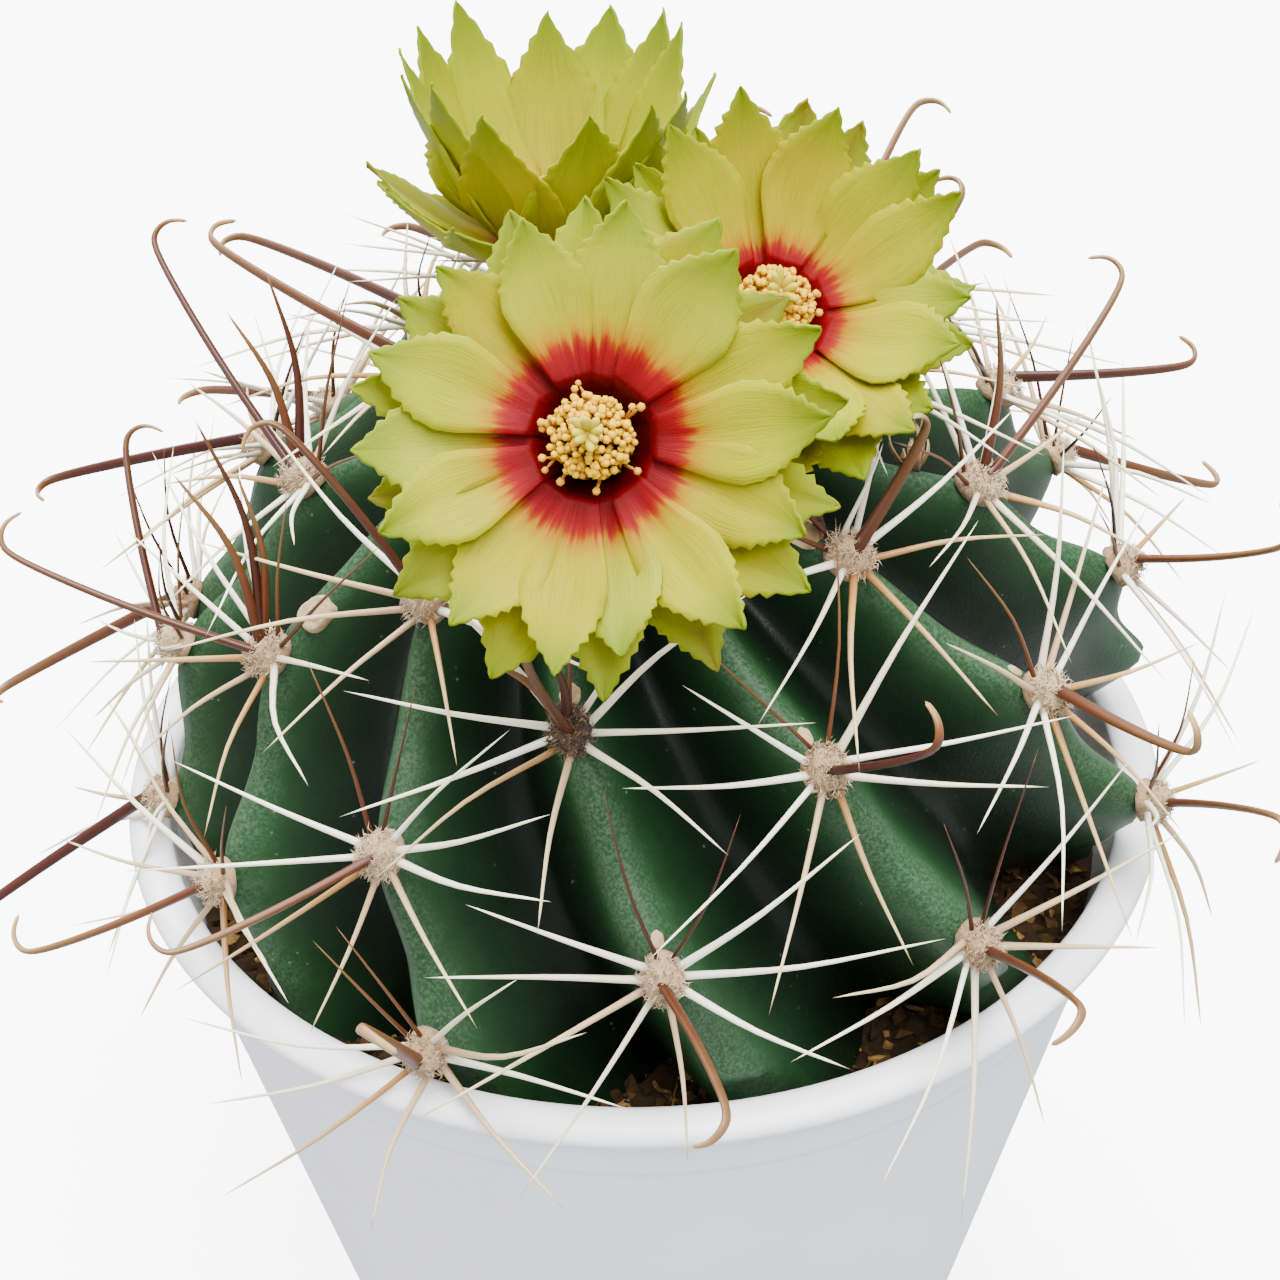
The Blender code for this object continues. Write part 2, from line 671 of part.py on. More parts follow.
class Flower:
    """Tube, two whorls of tepals, stamens and style, about one axis."""

    def __init__(self, name, root, throat, axis, spread, rise, around):
        self.name = name
        crown = STEM_FRAME @ Vector((0, 0, CROWN_HEIGHT))
        across, ahead, up = throat
        self.throat = crown + Vector((across * TUBE_TOP_RADIUS, ahead * TUBE_TOP_RADIUS, up * MM))
        turn, lean = (math.radians(angle) for angle in axis)
        self.axis = Vector((
            math.sin(lean) * math.sin(turn),
            -math.sin(lean) * math.cos(turn),
            math.cos(lean),
        ))
        self.side = self.axis.orthogonal().normalized()
        self.other = self.axis.cross(self.side)
        self.spread = spread * MM
        self.rise = rise * MM
        self.root, self.root_out = self.find_root(root, around)

    def find_root(self, root, around):
        turn, polar = (math.radians(angle) for angle in root)
        reach = STEM_RADIUS * math.sin(polar)
        local = Vector((
            reach * math.sin(turn),
            -reach * math.cos(turn),
            CROWN_HEIGHT * math.cos(polar),
        ))
        out = (STEM_FRAME.to_3x3() @ local).normalized()
        point = STEM_FRAME @ local
        low = point - out * 8 * MM
        height = around.surface_height(low, out, TUBE_FOOT_RADIUS)
        return low + out * (height + GAP), out

    def spot(self, angle, radius, height):
        """A point at an angle round the flower's axis, measured from the throat."""
        ring = self.side * math.cos(angle) + self.other * math.sin(angle)
        return self.throat + ring * radius + self.axis * height

    def ring(self, radius, height, sides=12):
        return [self.spot(math.tau * side / sides, radius, height) for side in range(sides)]

    def make_tube(self):
        """A bent funnel from the stem to the throat, hollow at its top."""
        sides = 12
        rings = []
        span = (self.throat - self.root).length
        out_handle = self.root + self.root_out * span * 0.4
        in_handle = self.throat - self.axis * span * 0.4
        steps = 5
        for step in range(steps):
            share = step / steps
            centre = bezier(self.root, out_handle, in_handle, self.throat, share)
            ahead = bezier(self.root, out_handle, in_handle, self.throat, share + 0.01)
            way = self.root_out if step == 0 else (ahead - centre).normalized()
            radius = TUBE_FOOT_RADIUS + (TUBE_TOP_RADIUS - TUBE_FOOT_RADIUS) * share
            across = (self.side - way * self.side.dot(way)).normalized()
            up = way.cross(across)
            ring = []
            for side in range(sides):
                angle = math.tau * side / sides
                ring.append(centre + (across * math.cos(angle) + up * math.sin(angle)) * radius)
            rings.append(ring)
        rings.append(self.ring(TUBE_TOP_RADIUS, 0))
        rings.append(self.ring(TUBE_TOP_RADIUS - TUBE_WALL, 0))
        cup = min(TUBE_CUP, span * 0.4)
        rings.append(self.ring(STAMEN_RADIUS, -cup))
        vertices, faces = loft(rings)
        self.cup = cup
        return add_object(f"{self.name}_flower_tube", vertices, faces, tube_scales())

    def tepal_height(self, share):
        """Rise of the tepals above the throat along their length."""
        return self.rise * (0.35 * share + 0.65 * share**2)

    def make_tepals(self, which, shift, spread, rest, inner_radius):
        """One whorl: a collar that splits into pointed tepals. It rests this far above the throat."""
        columns = 2
        per = columns + 1
        collar = TUBE_TOP_RADIUS + 2.2 * MM
        shares = (0.35, 0.75)
        widths = (1.0, 0.8)
        sheet = []
        turn = math.tau / TEPALS

        def layer(offset):
            first = len(sheet)
            for tepal in range(TEPALS):
                base = turn * (tepal + shift)
                for column in range(per):
                    angle = base + turn * 0.94 * (column / columns - 0.5)
                    sheet.append(self.spot(angle, inner_radius, offset))
                for column in range(per):
                    angle = base + turn * 0.94 * (column / columns - 0.5)
                    sheet.append(self.spot(angle, collar, self.tepal_height(0.1) + offset))
                for share, width in zip(shares, widths):
                    radius = collar + (spread - collar) * share
                    for column in range(per):
                        place = column / columns - 0.5
                        half = collar * turn * 0.94 * width * (1 + 0.25 * share)
                        angle = base + place * half / radius
                        crown = 0.5 * MM * (1 - abs(2 * place))
                        height = self.tepal_height(share) + offset - crown
                        sheet.append(self.spot(angle, radius, height))
                sheet.append(self.spot(base, spread, self.tepal_height(1.0) + offset))
            return first

        block = per * (2 + len(shares)) + 1
        low = layer(rest)
        high = layer(rest + TEPAL_THICKNESS)
        faces = []
        rows = 1 + len(shares)
        for tepal in range(TEPALS):
            following = (tepal + 1) % TEPALS
            for first, flip in ((low, True), (high, False)):
                here = first + tepal * block
                there = first + following * block
                made = []
                for row in range(rows):
                    for column in range(columns):
                        a = here + row * per + column
                        made.append((a, a + 1, a + 1 + per, a + per))
                tip = here + block - 1
                last = here + rows * per
                for column in range(columns):
                    made.append((last + column, last + column + 1, tip))
                made.append((here + columns, there, there + per, here + columns + per))
                faces += [tuple(reversed(face)) for face in made] if flip else made
            edges = []
            low_here, low_there = low + tepal * block, low + following * block
            for column in range(columns):
                edges.append((low_here + column, low_here + column + 1))
            edges.append((low_here + columns, low_there))
            left = [low_here + row * per for row in range(1, rows + 1)] + [low_here + block - 1]
            right = [low_here + row * per + columns for row in range(1, rows + 1)]
            right = [low_here + block - 1] + right[::-1]
            outline = [(left[i + 1], left[i]) for i in range(len(left) - 1)]
            outline += [(right[i + 1], right[i]) for i in range(len(right) - 1)]
            outline.append((low_there + per, low_here + columns + per))
            for a, b in edges + outline:
                faces.append((a, b, b - low + high, a - low + high))
        return add_object(f"{self.name}_flower_{which}", sheet, faces, tepal_skin(), smooth=False)

    def make_stamens(self):
        """The bundle of stamens as one brush round the style."""
        hole = STYLE_RADIUS + GAP
        foot = -self.cup + GAP
        rings = [
            self.ring(hole, foot, 10),
            self.ring(STAMEN_RADIUS - 3 * GAP, foot, 10),
            self.ring(STAMEN_RADIUS - GAP, 0, 10),
            self.ring(STAMEN_RADIUS, 3.2 * MM, 10),
            self.ring(STAMEN_RADIUS * 0.7, 4.6 * MM, 10),
            self.ring(hole, 4.8 * MM, 10),
        ]
        vertices, faces = loft(rings + [rings[0]], closed_start=False, closed_end=False)
        total = len(rings) * 10
        faces = [tuple(index % total for index in face) for face in faces]
        name = f"{self.name}_flower_stamens"
        return add_object(name, vertices[:total], faces, pollen())

    def make_style(self):
        """The style with its stigma, a small star that stands above the stamens."""
        star = []
        for side in range(12):
            reach = 1.7 * MM if side % 2 == 0 else 0.6 * MM
            star.append(self.spot(math.tau * side / 12, reach, 6.6 * MM))
        rings = [
            self.ring(STYLE_RADIUS, -self.cup + GAP),
            self.ring(STYLE_RADIUS, 5.4 * MM),
            star,
            self.ring(0.4 * MM, 6.9 * MM),
        ]
        vertices, faces = loft(rings)
        return add_object(f"{self.name}_flower_style", vertices, faces, stigma_skin())

    def make(self):
        inner = TUBE_TOP_RADIUS - TUBE_WALL
        pieces = [self.make_tube()]
        pieces.append(self.make_tepals("outer_tepals", 0.5, self.spread, GAP, inner))
        above = GAP + TEPAL_THICKNESS + TEPAL_SPACE
        shorter = self.spread * 0.93
        pieces.append(self.make_tepals("inner_tepals", 0.0, shorter, above, inner))
        pieces.append(self.make_stamens())
        pieces.append(self.make_style())
        return pieces


def bezier(start, first, second, end, share):
    rest = 1 - share
    near = start * rest**3 + first * 3 * rest**2 * share
    return near + second * 3 * rest * share**2 + end * share**3


def main():
    clear_scene()
    pot = make_pot()
    stem = stem_body("cactus_stem")
    soil = make_soil()
    around = Surroundings()
    around.add(stem)
    flowers = [Flower(name, *values, around) for name, values in FLOWERS.items()]
    pieces = [piece for flower in flowers for piece in flower.make()]
    for piece in [pot, soil] + pieces:
        around.add(piece)
    make_areoles(around)


main()
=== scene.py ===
"""Looks of a potted round cactus: pot, soil, ribbed stem, woolly areoles, spines and flowers."""

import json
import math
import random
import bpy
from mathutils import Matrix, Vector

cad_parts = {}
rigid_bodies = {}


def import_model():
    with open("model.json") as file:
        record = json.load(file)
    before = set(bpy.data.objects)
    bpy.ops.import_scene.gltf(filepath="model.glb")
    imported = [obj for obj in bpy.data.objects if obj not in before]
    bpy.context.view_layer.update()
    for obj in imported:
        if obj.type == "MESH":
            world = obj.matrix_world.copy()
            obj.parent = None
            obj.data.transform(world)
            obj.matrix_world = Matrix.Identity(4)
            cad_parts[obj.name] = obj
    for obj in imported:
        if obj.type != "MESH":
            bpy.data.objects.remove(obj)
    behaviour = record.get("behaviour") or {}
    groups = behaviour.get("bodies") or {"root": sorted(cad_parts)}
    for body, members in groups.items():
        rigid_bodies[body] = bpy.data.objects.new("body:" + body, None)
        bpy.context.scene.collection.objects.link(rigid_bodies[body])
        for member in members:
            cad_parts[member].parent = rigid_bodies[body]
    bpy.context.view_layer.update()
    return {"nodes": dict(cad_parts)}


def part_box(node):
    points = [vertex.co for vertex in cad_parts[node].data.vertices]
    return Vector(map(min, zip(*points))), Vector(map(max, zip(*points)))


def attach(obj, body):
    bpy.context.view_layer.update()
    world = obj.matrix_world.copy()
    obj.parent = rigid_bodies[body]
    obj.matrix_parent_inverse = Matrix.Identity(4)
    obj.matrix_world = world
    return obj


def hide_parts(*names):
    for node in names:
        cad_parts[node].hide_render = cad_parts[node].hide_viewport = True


bl_info = {
    "name": "Potted Round Cactus",
    "version": (1, 0, 0),
    "blender": (4, 5, 0),
    "location": "3D View > Sidebar > Cactus",
    "description": "Builds the visible pot, plant and stage round the packed model",
    "category": "Object",
}

import bpy
import numpy as np
from bpy.props import FloatProperty, FloatVectorProperty, IntProperty, PointerProperty
from mathutils import Matrix, Vector, noise
from mathutils.bvhtree import BVHTree

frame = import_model()

MM = 0.001
GOLDEN_ANGLE = 2.39996  # between one scale or stamen and the next, in radians
TEPAL_SPAN = 16 * MM  # distance from a flower's axis at which "reach" is 1
FLOWER_NAMES = ("front", "right", "rear")
AREOLE_NODES = sorted(name for name in frame["nodes"] if name.startswith("areole_"))
POT_LOW, POT_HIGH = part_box("pot")
RIM_Z = POT_HIGH.z
RIM_RADIUS = (POT_HIGH.x - POT_LOW.x) / 2


def linear(code):
    """Linear RGB of an sRGB hex colour."""
    channels = [int(code[index : index + 2], 16) / 255 for index in (0, 2, 4)]
    return tuple(c / 12.92 if c <= 0.04045 else ((c + 0.055) / 1.055) ** 2.4 for c in channels)


def colour_setting(name, code, description):
    return FloatVectorProperty(
        name=name, description=description, subtype="COLOR", size=3, min=0, max=1, default=linear(code)
    )


def length_setting(name, millimetres, description):
    return FloatProperty(
        name=name, description=description, subtype="DISTANCE", unit="LENGTH", default=millimetres * MM
    )


def angle_setting(name, degrees, description):
    return FloatProperty(
        name=name, description=description, subtype="ANGLE", default=math.radians(degrees)
    )


# --- settings -------------------------------------------------------------------------------


class PotSettings(bpy.types.PropertyGroup):
    """Sizes and colour of the moulded pot"""

    foot_radius: length_setting("Foot radius", 28, "Radius of the flat foot")
    wall: length_setting("Wall", 1.3, "Thickness of the tapered wall")
    floor: length_setting("Floor", 1.6, "Thickness of the floor")
    lip_width: length_setting("Lip width", 3.6, "Width of the rolled rim seen from above")
    lip_height: length_setting("Lip height", 2.4, "Height of the rolled rim")
    lip_overhang: length_setting("Lip overhang", 2.0, "How far the rim stands out over the wall")
    collar_height: length_setting("Collar height", 8, "Height of the band under the rim")
    collar_step: length_setting("Collar step", 0.4, "Step at the foot of the band")
    drain_circle: length_setting("Drain circle", 17, "Radius on which the drain holes lie")
    drain_radius: length_setting("Drain radius", 3, "Radius of one drain hole")
    colour: colour_setting("Pot colour", "EDEDEF", "Colour of the moulded plastic")


class SoilSettings(bpy.types.PropertyGroup):
    """Level, crumbs and colours of the potting mix"""

    below_rim: length_setting("Below rim", 8.2, "Depth of the soil's surface under the rim")
    crumbs: IntProperty(name="Crumbs", description="Loose crumbs on the surface", default=2600, min=0)
    fibres: IntProperty(name="Fibres", description="Loose root and peat fibres", default=110, min=0)
    dark: colour_setting("Dark peat", "33230F", "Colour of the moist peat")
    light: colour_setting("Light bits", "A07A42", "Colour of the bark and grit")


class StemSettings(bpy.types.PropertyGroup):
    """Shape and colours of the ribbed stem"""

    radius: length_setting("Radius", 43.5, "Radius of the stem over its ribs")
    crown_height: length_setting("Crown height", 41.3, "Height of the crown over the widest level")
    base_depth: length_setting("Base depth", 24, "Depth of the stem's foot under the widest level")
    above_rim: length_setting("Above rim", 0.8, "Height of the widest level over the rim")
    offset: length_setting("Offset", 1.5, "How far the stem stands to the right of the pot's axis")
    lean_front: angle_setting("Lean to the front", 10, "How far the stem leans to the front")
    lean_left: angle_setting("Lean to the left", 6.3, "How far the stem leans to the left")
    valley_depth: length_setting("Valley depth", 12, "Depth of the valleys between ribs")
    tubercle_height: length_setting("Tubercle height", 2.2, "How far a rib swells at an areole")
    skin: colour_setting("Skin", "0E2410", "Green of the sides of the ribs")
    # Painted shade: near-black green painted deep in the valleys, where it stands in for the shade
    # between the ribs.
    shade: colour_setting("Valley", "050D06", "Near-black green deep in the valleys")
    bloom: colour_setting("Bloom", "4E6750", "Blue-grey wax on the crests")


class SpineSettings(bpy.types.PropertyGroup):
    """Sizes and colours of wool and spines"""

    radial_width: length_setting("Radial width", 0.82, "Width of a radial spine at its foot")
    hook_width: length_setting("Hook width", 1.3, "Width of a hooked spine at its foot")
    wool_radius: length_setting("Wool radius", 1.7, "Radius of a wool cushion")
    wool_height: length_setting("Wool height", 1.15, "Height of a wool cushion")
    hairs: IntProperty(name="Hairs", description="Loose hairs on one cushion", default=260, min=0)
    cream: colour_setting("Cream", "EAE5CF", "Colour of the pale radial spines")
    chestnut: colour_setting("Chestnut", "300B05", "Colour of the dark spines")
    wool: colour_setting("Wool", "B39470", "Colour of the wool")


class FlowerSettings(bpy.types.PropertyGroup):
    """Numbers, sizes and colours of the flowers' pieces"""

    tepals: IntProperty(name="Tepals", description="Tepals in one whorl", default=14, min=5, max=24)
    tepal_width: length_setting("Tepal width", 6.2, "Width of a tepal at its widest")
    stamens: IntProperty(name="Stamens", description="Stamens in one flower", default=220, min=0)
    throat_radius: length_setting("Throat", 6.2, "Radius of the red throat")
    yellow: colour_setting("Yellow", "848802", "Colour of the tepals' middle")
    tip: colour_setting("Tip", "576A04", "Colour of the tepals' tips")
    throat: colour_setting("Throat colour", "71030A", "Colour of the throat")
    stamen: colour_setting("Stamen", "D09B00", "Colour of filaments and pollen")


class StageSettings(bpy.types.PropertyGroup):
    """Camera, lights and floor"""

    distance: length_setting("Camera distance", 230, "Distance from the camera to its target")
    target_above_rim: length_setting("Target height", 12.33, "Height of the target over the pot's rim")
    elevation: angle_setting("Elevation", 37.08, "Camera's angle above level")
    roll: angle_setting("Roll", -1.52, "Camera's turn about its view")
    view_angle: angle_setting("View angle", 26.69, "Camera's angle of view")
    floor: colour_setting("Floor", "ECECEC", "Colour of the floor")


SETTINGS = (
    ("cactus_pot", PotSettings),
    ("cactus_soil", SoilSettings),
    ("cactus_stem", StemSettings),
    ("cactus_spines", SpineSettings),
    ("cactus_flowers", FlowerSettings),
    ("cactus_stage", StageSettings),
)


# --- materials ------------------------------------------------------------------------------


def add_node(tree, kind, settings=None, inputs=None):
    """Adds a node, sets its properties and colour stops, and sets or links its inputs."""
    node = tree.nodes.new(kind)
    for key, value in (settings or {}).items():
        if key == "stops":
            ramp = node.color_ramp
            while len(ramp.elements) < len(value):
                ramp.elements.new(0.5)
            for element, (place, rgb) in zip(ramp.elements, value):
                element.position = place
                element.color = (*rgb, 1)
        else:
            setattr(node, key, value)
    for key, value in (inputs or {}).items():
        if isinstance(value, bpy.types.NodeSocket):
            tree.links.new(value, node.inputs[key])
        else:
            node.inputs[key].default_value = value
    return node


def new_material(name, **sockets):
    """A Principled material with the given values on its own sockets."""
    made = bpy.data.materials.new(name)
    made.use_nodes = True
    shader = made.node_tree.nodes["Principled BSDF"]
    for key, value in sockets.items():
        shader.inputs[key.replace("_", " ")].default_value = value
    return made, made.node_tree, shader


def moulded_polypropylene(settings):
    # Injection-moulded white polypropylene: even satin gloss with a faint flow mottle.
    made, tree, shader = new_material("moulded_polypropylene", IOR=1.49, Subsurface_Weight=0.12)
    shader.inputs["Subsurface Radius"].default_value = (1.0, 0.9, 0.8)
    shader.inputs["Subsurface Scale"].default_value = 0.002
    place = add_node(tree, "ShaderNodeNewGeometry").outputs["Position"]
    mottle = add_node(
        tree, "ShaderNodeTexNoise", inputs={"Vector": place, "Scale": 60.0, "Detail": 4.0}
    ).outputs["Fac"]
    tint = add_node(
        tree,
        "ShaderNodeValToRGB",
        {"stops": [(0.3, tuple(c * 0.94 for c in settings.colour)), (0.7, tuple(settings.colour))]},
        {"Fac": mottle},
    ).outputs["Color"]
    tree.links.new(tint, shader.inputs["Base Color"])
    gloss = add_node(
        tree,
        "ShaderNodeMapRange",
        inputs={"Value": mottle, "From Min": 0.3, "From Max": 0.7, "To Min": 0.24, "To Max": 0.34},
    ).outputs["Result"]
    tree.links.new(gloss, shader.inputs["Roughness"])
    # Fine moulding texture, 0.15 mm grain.
    grain = add_node(
        tree, "ShaderNodeTexNoise", inputs={"Vector": place, "Scale": 6500.0, "Detail": 2.0}
    ).outputs["Fac"]
    bump = add_node(
        tree, "ShaderNodeBump", inputs={"Height": grain, "Strength": 0.06, "Distance": 0.0001}
    ).outputs["Normal"]
    tree.links.new(bump, shader.inputs["Normal"])
    return made


def peat_mix(settings):
    # Moist peat with bark and grit: dark, matt and crumbly, each crumb of its own tone.
    made, tree, shader = new_material("peat_mix", Roughness=0.95, Specular_IOR_Level=0.25)
    tone = add_node(tree, "ShaderNodeAttribute", {"attribute_name": "tone"}).outputs["Fac"]
    place = add_node(tree, "ShaderNodeNewGeometry").outputs["Position"]
    grain = add_node(
        tree,
        "ShaderNodeTexNoise",
        inputs={"Vector": place, "Scale": 1500.0, "Detail": 5.0, "Roughness": 0.7},
    ).outputs["Fac"]
    mixed = add_node(
        tree, "ShaderNodeMath", {"operation": "MULTIPLY_ADD"}, {0: grain, 1: 0.45, 2: tone}
    ).outputs["Value"]
    tint = add_node(
        tree,
        "ShaderNodeValToRGB",
        {
            "stops": [
                (0.15, tuple(c * 0.5 for c in settings.dark)),
                (0.45, tuple(settings.dark)),
                (0.8, linear("5E4222")),
                (1.0, tuple(settings.light)),
            ]
        },
        {"Fac": mixed},
    ).outputs["Color"]
    tree.links.new(tint, shader.inputs["Base Color"])
    bump = add_node(
        tree, "ShaderNodeBump", inputs={"Height": grain, "Strength": 0.7, "Distance": 0.0004}
    ).outputs["Normal"]
    tree.links.new(bump, shader.inputs["Normal"])
    return made


def waxy_epidermis(settings):
    # Living cactus skin: dark, tough and half glossy, with a frosted wax bloom on the crests. Painted
    # shade darkens the skin to near-black in the valleys, and painted light makes it a little lighter
    # on the crests.
    made, tree, shader = new_material(
        "waxy_epidermis", IOR=1.42, Specular_IOR_Level=0.2, Subsurface_Weight=0.03
    )
    shader.inputs["Subsurface Radius"].default_value = (0.4, 1.0, 0.3)
    shader.inputs["Subsurface Scale"].default_value = 0.001
    place = add_node(tree, "ShaderNodeNewGeometry").outputs["Position"]
    crest = add_node(tree, "ShaderNodeAttribute", {"attribute_name": "crest"}).outputs["Fac"]
    cloud = add_node(
        tree,
        "ShaderNodeTexNoise",
        inputs={"Vector": place, "Scale": 260.0, "Detail": 5.0, "Roughness": 0.6},
    ).outputs["Fac"]
    # Skin cells about 0.25 mm across, drawn as pale grains in the wax and as pebbles in the relief.
    grain = add_node(
        tree,
        "ShaderNodeTexNoise",
        inputs={"Vector": place, "Scale": 3800.0, "Detail": 2.0, "Roughness": 0.6},
    ).outputs["Fac"]
    spots = add_node(
        tree, "ShaderNodeTexVoronoi", inputs={"Vector": place, "Scale": 900.0}
    ).outputs["Distance"]
    height = add_node(
        tree, "ShaderNodeMath", {"operation": "MULTIPLY_ADD"}, {0: cloud, 1: 0.3, 2: crest}
    ).outputs["Value"]
    # Painted shade and light: this ramp on the crest value goes from near-black green in the valleys,
    # where shade falls between the ribs, to a lighter green on the lit crests.
    skin = add_node(
        tree,
        "ShaderNodeValToRGB",
        {
            "stops": [
                (0.15, tuple(settings.shade)),
                (0.42, linear("09180A")),
                (0.72, tuple(settings.skin)),
                (1.0, linear("193619")),
            ]
        },
        {"Fac": height},
    ).outputs["Color"]
    wax = add_node(
        tree,
        "ShaderNodeMapRange",
        {"interpolation_type": "SMOOTHSTEP"},
        {"Value": height, "From Min": 0.86, "From Max": 1.2, "To Min": 0.0, "To Max": 0.8},
    ).outputs["Result"]
    frost = add_node(
        tree,
        "ShaderNodeMapRange",
        inputs={"Value": grain, "From Min": 0.4, "From Max": 0.66, "To Min": 0.08, "To Max": 0.7},
    ).outputs["Result"]
    wax = add_node(
        tree, "ShaderNodeMath", {"operation": "MULTIPLY"}, {0: wax, 1: frost}
    ).outputs["Value"]
    tint = add_node(
        tree, "ShaderNodeMix", {"data_type": "RGBA"}, {0: wax, 6: skin, 7: (*settings.bloom, 1)}
    ).outputs[2]
    # A few pale dots of about 0.2 mm lie in patches on the skin.
    dots = add_node(
        tree,
        "ShaderNodeMapRange",
        inputs={"Value": spots, "From Min": 0.08, "From Max": 0.13, "To Min": 0.3, "To Max": 0.0},
    ).outputs["Result"]
    patch = add_node(
        tree, "ShaderNodeMapRange", inputs={"Value": cloud, "From Min": 0.56, "From Max": 0.68}
    ).outputs["Result"]
    dots = add_node(
        tree, "ShaderNodeMath", {"operation": "MULTIPLY"}, {0: dots, 1: patch}
    ).outputs["Value"]
    tint = add_node(
        tree, "ShaderNodeMix", {"data_type": "RGBA"}, {0: dots, 6: tint, 7: (*linear("A9B8A0"), 1)}
    ).outputs[2]
    tree.links.new(tint, shader.inputs["Base Color"])
    gloss = add_node(
        tree,
        "ShaderNodeMapRange",
        inputs={"Value": wax, "From Min": 0.0, "From Max": 0.8, "To Min": 0.42, "To Max": 0.6},
    ).outputs["Result"]
    tree.links.new(gloss, shader.inputs["Roughness"])
    bump = add_node(
        tree, "ShaderNodeBump", inputs={"Height": grain, "Strength": 0.35, "Distance": 0.00012}
    ).outputs["Normal"]
    tree.links.new(bump, shader.inputs["Normal"])
    return made


def horny_spine(settings):
    # Dead horny fibre: smooth, slightly glossy and translucent, with fine lengthwise fibres.
    made, tree, shader = new_material(
        "horny_spine", IOR=1.53, Roughness=0.38, Specular_IOR_Level=0.3, Subsurface_Weight=0.04
    )
    shader.inputs["Subsurface Radius"].default_value = (1.0, 0.7, 0.4)
    shader.inputs["Subsurface Scale"].default_value = 0.0005
    along = add_node(tree, "ShaderNodeAttribute", {"attribute_name": "along"}).outputs["Fac"]
    tone = add_node(tree, "ShaderNodeAttribute", {"attribute_name": "tone"}).outputs["Fac"]
    place = add_node(tree, "ShaderNodeNewGeometry").outputs["Position"]
    patch = add_node(
        tree, "ShaderNodeTexNoise", inputs={"Vector": place, "Scale": 700.0, "Detail": 4.0}
    ).outputs["Fac"]
    wander = add_node(
        tree, "ShaderNodeMath", {"operation": "MULTIPLY_ADD"}, {0: patch, 1: 0.16, 2: along}
    ).outputs["Value"]
    pale = [
        (0.0, linear("805630")), (0.12, linear("CDBB88")),
        (0.4, tuple(settings.cream)), (1.0, linear("EDE6C8")),
    ]
    amber = [
        (0.05, linear("5E2A0C")), (0.3, linear("84491C")),
        (0.6, linear("AA8248")), (1.0, linear("CDB888")),
    ]
    brown = [
        (0.05, linear("220804")), (0.3, tuple(settings.chestnut)), (0.6, linear("3A1307")),
        (0.85, linear("623A18")), (1.0, linear("967244")),
    ]
    tints = [
        add_node(tree, "ShaderNodeValToRGB", {"stops": stops}, {"Fac": wander}).outputs["Color"]
        for stops in (pale, amber, brown)
    ]
    # Tone 0 is a pale spine, 0.5 an amber one and 1 a dark brown one.
    low, high = [
        add_node(tree, "ShaderNodeMapRange", inputs={"Value": tone, half: 0.5}).outputs["Result"]
        for half in ("From Max", "From Min")
    ]
    tint = add_node(
        tree, "ShaderNodeMix", {"data_type": "RGBA"}, {0: low, 6: tints[0], 7: tints[1]}
    ).outputs[2]
    tint = add_node(
        tree, "ShaderNodeMix", {"data_type": "RGBA"}, {0: high, 6: tint, 7: tints[2]}
    ).outputs[2]
    tree.links.new(tint, shader.inputs["Base Color"])
    bump = add_node(
        tree, "ShaderNodeBump", inputs={"Height": patch, "Strength": 0.25, "Distance": 0.0001}
    ).outputs["Normal"]
    tree.links.new(bump, shader.inputs["Normal"])
    return made


def felted_wool(settings):
    # Felt of short plant hairs: matt, with a soft sheen at its edge.
    made, tree, shader = new_material(
        "felted_wool", Roughness=0.95, Specular_IOR_Level=0.1, Sheen_Weight=0.12
    )
    place = add_node(tree, "ShaderNodeNewGeometry").outputs["Position"]
    tone = add_node(tree, "ShaderNodeAttribute", {"attribute_name": "tone"}).outputs["Fac"]
    fuzz = add_node(
        tree,
        "ShaderNodeTexNoise",
        inputs={"Vector": place, "Scale": 2600.0, "Detail": 5.0, "Roughness": 0.7},
    ).outputs["Fac"]
    mixed = add_node(
        tree, "ShaderNodeMath", {"operation": "MULTIPLY_ADD"}, {0: fuzz, 1: 0.6, 2: tone}
    ).outputs["Value"]
    tint = add_node(
        tree,
        "ShaderNodeValToRGB",
        {
            "stops": [
                (0.15, linear("33261A")),
                (0.4, linear("7A5F42")),
                (0.7, tuple(settings.wool)),
                (1.0, linear("D6C09C")),
            ]
        },
        {"Fac": mixed},
    ).outputs["Color"]
    tree.links.new(tint, shader.inputs["Base Color"])
    bump = add_node(
        tree, "ShaderNodeBump", inputs={"Height": fuzz, "Strength": 0.9, "Distance": 0.0003}
    ).outputs["Normal"]
    tree.links.new(bump, shader.inputs["Normal"])
    return made


def corky_scar():
    # Cork of healed scars and glands: matt, tan, cracked and grey-brown at its edge.
    made, tree, shader = new_material("corky_scar", Roughness=0.9, Specular_IOR_Level=0.2)
    place = add_node(tree, "ShaderNodeNewGeometry").outputs["Position"]
    tone = add_node(tree, "ShaderNodeAttribute", {"attribute_name": "tone"}).outputs["Fac"]
    grain = add_node(
        tree,
        "ShaderNodeTexNoise",
        inputs={"Vector": place, "Scale": 1500.0, "Detail": 5.0, "Roughness": 0.7},
    ).outputs["Fac"]
    mixed = add_node(
        tree, "ShaderNodeMath", {"operation": "MULTIPLY_ADD"}, {0: grain, 1: 0.5, 2: tone}
    ).outputs["Value"]
    tint = add_node(
        tree,
        "ShaderNodeValToRGB",
        {
            "stops": [
                (0.25, linear("241912")),
                (0.5, linear("5A4632")),
                (0.8, linear("957550")),
                (1.0, linear("B29C79")),
            ]
        },
        {"Fac": mixed},
    ).outputs["Color"]
    tree.links.new(tint, shader.inputs["Base Color"])
    bump = add_node(
        tree, "ShaderNodeBump", inputs={"Height": grain, "Strength": 0.8, "Distance": 0.0003}
    ).outputs["Normal"]
    tree.links.new(bump, shader.inputs["Normal"])
    return made


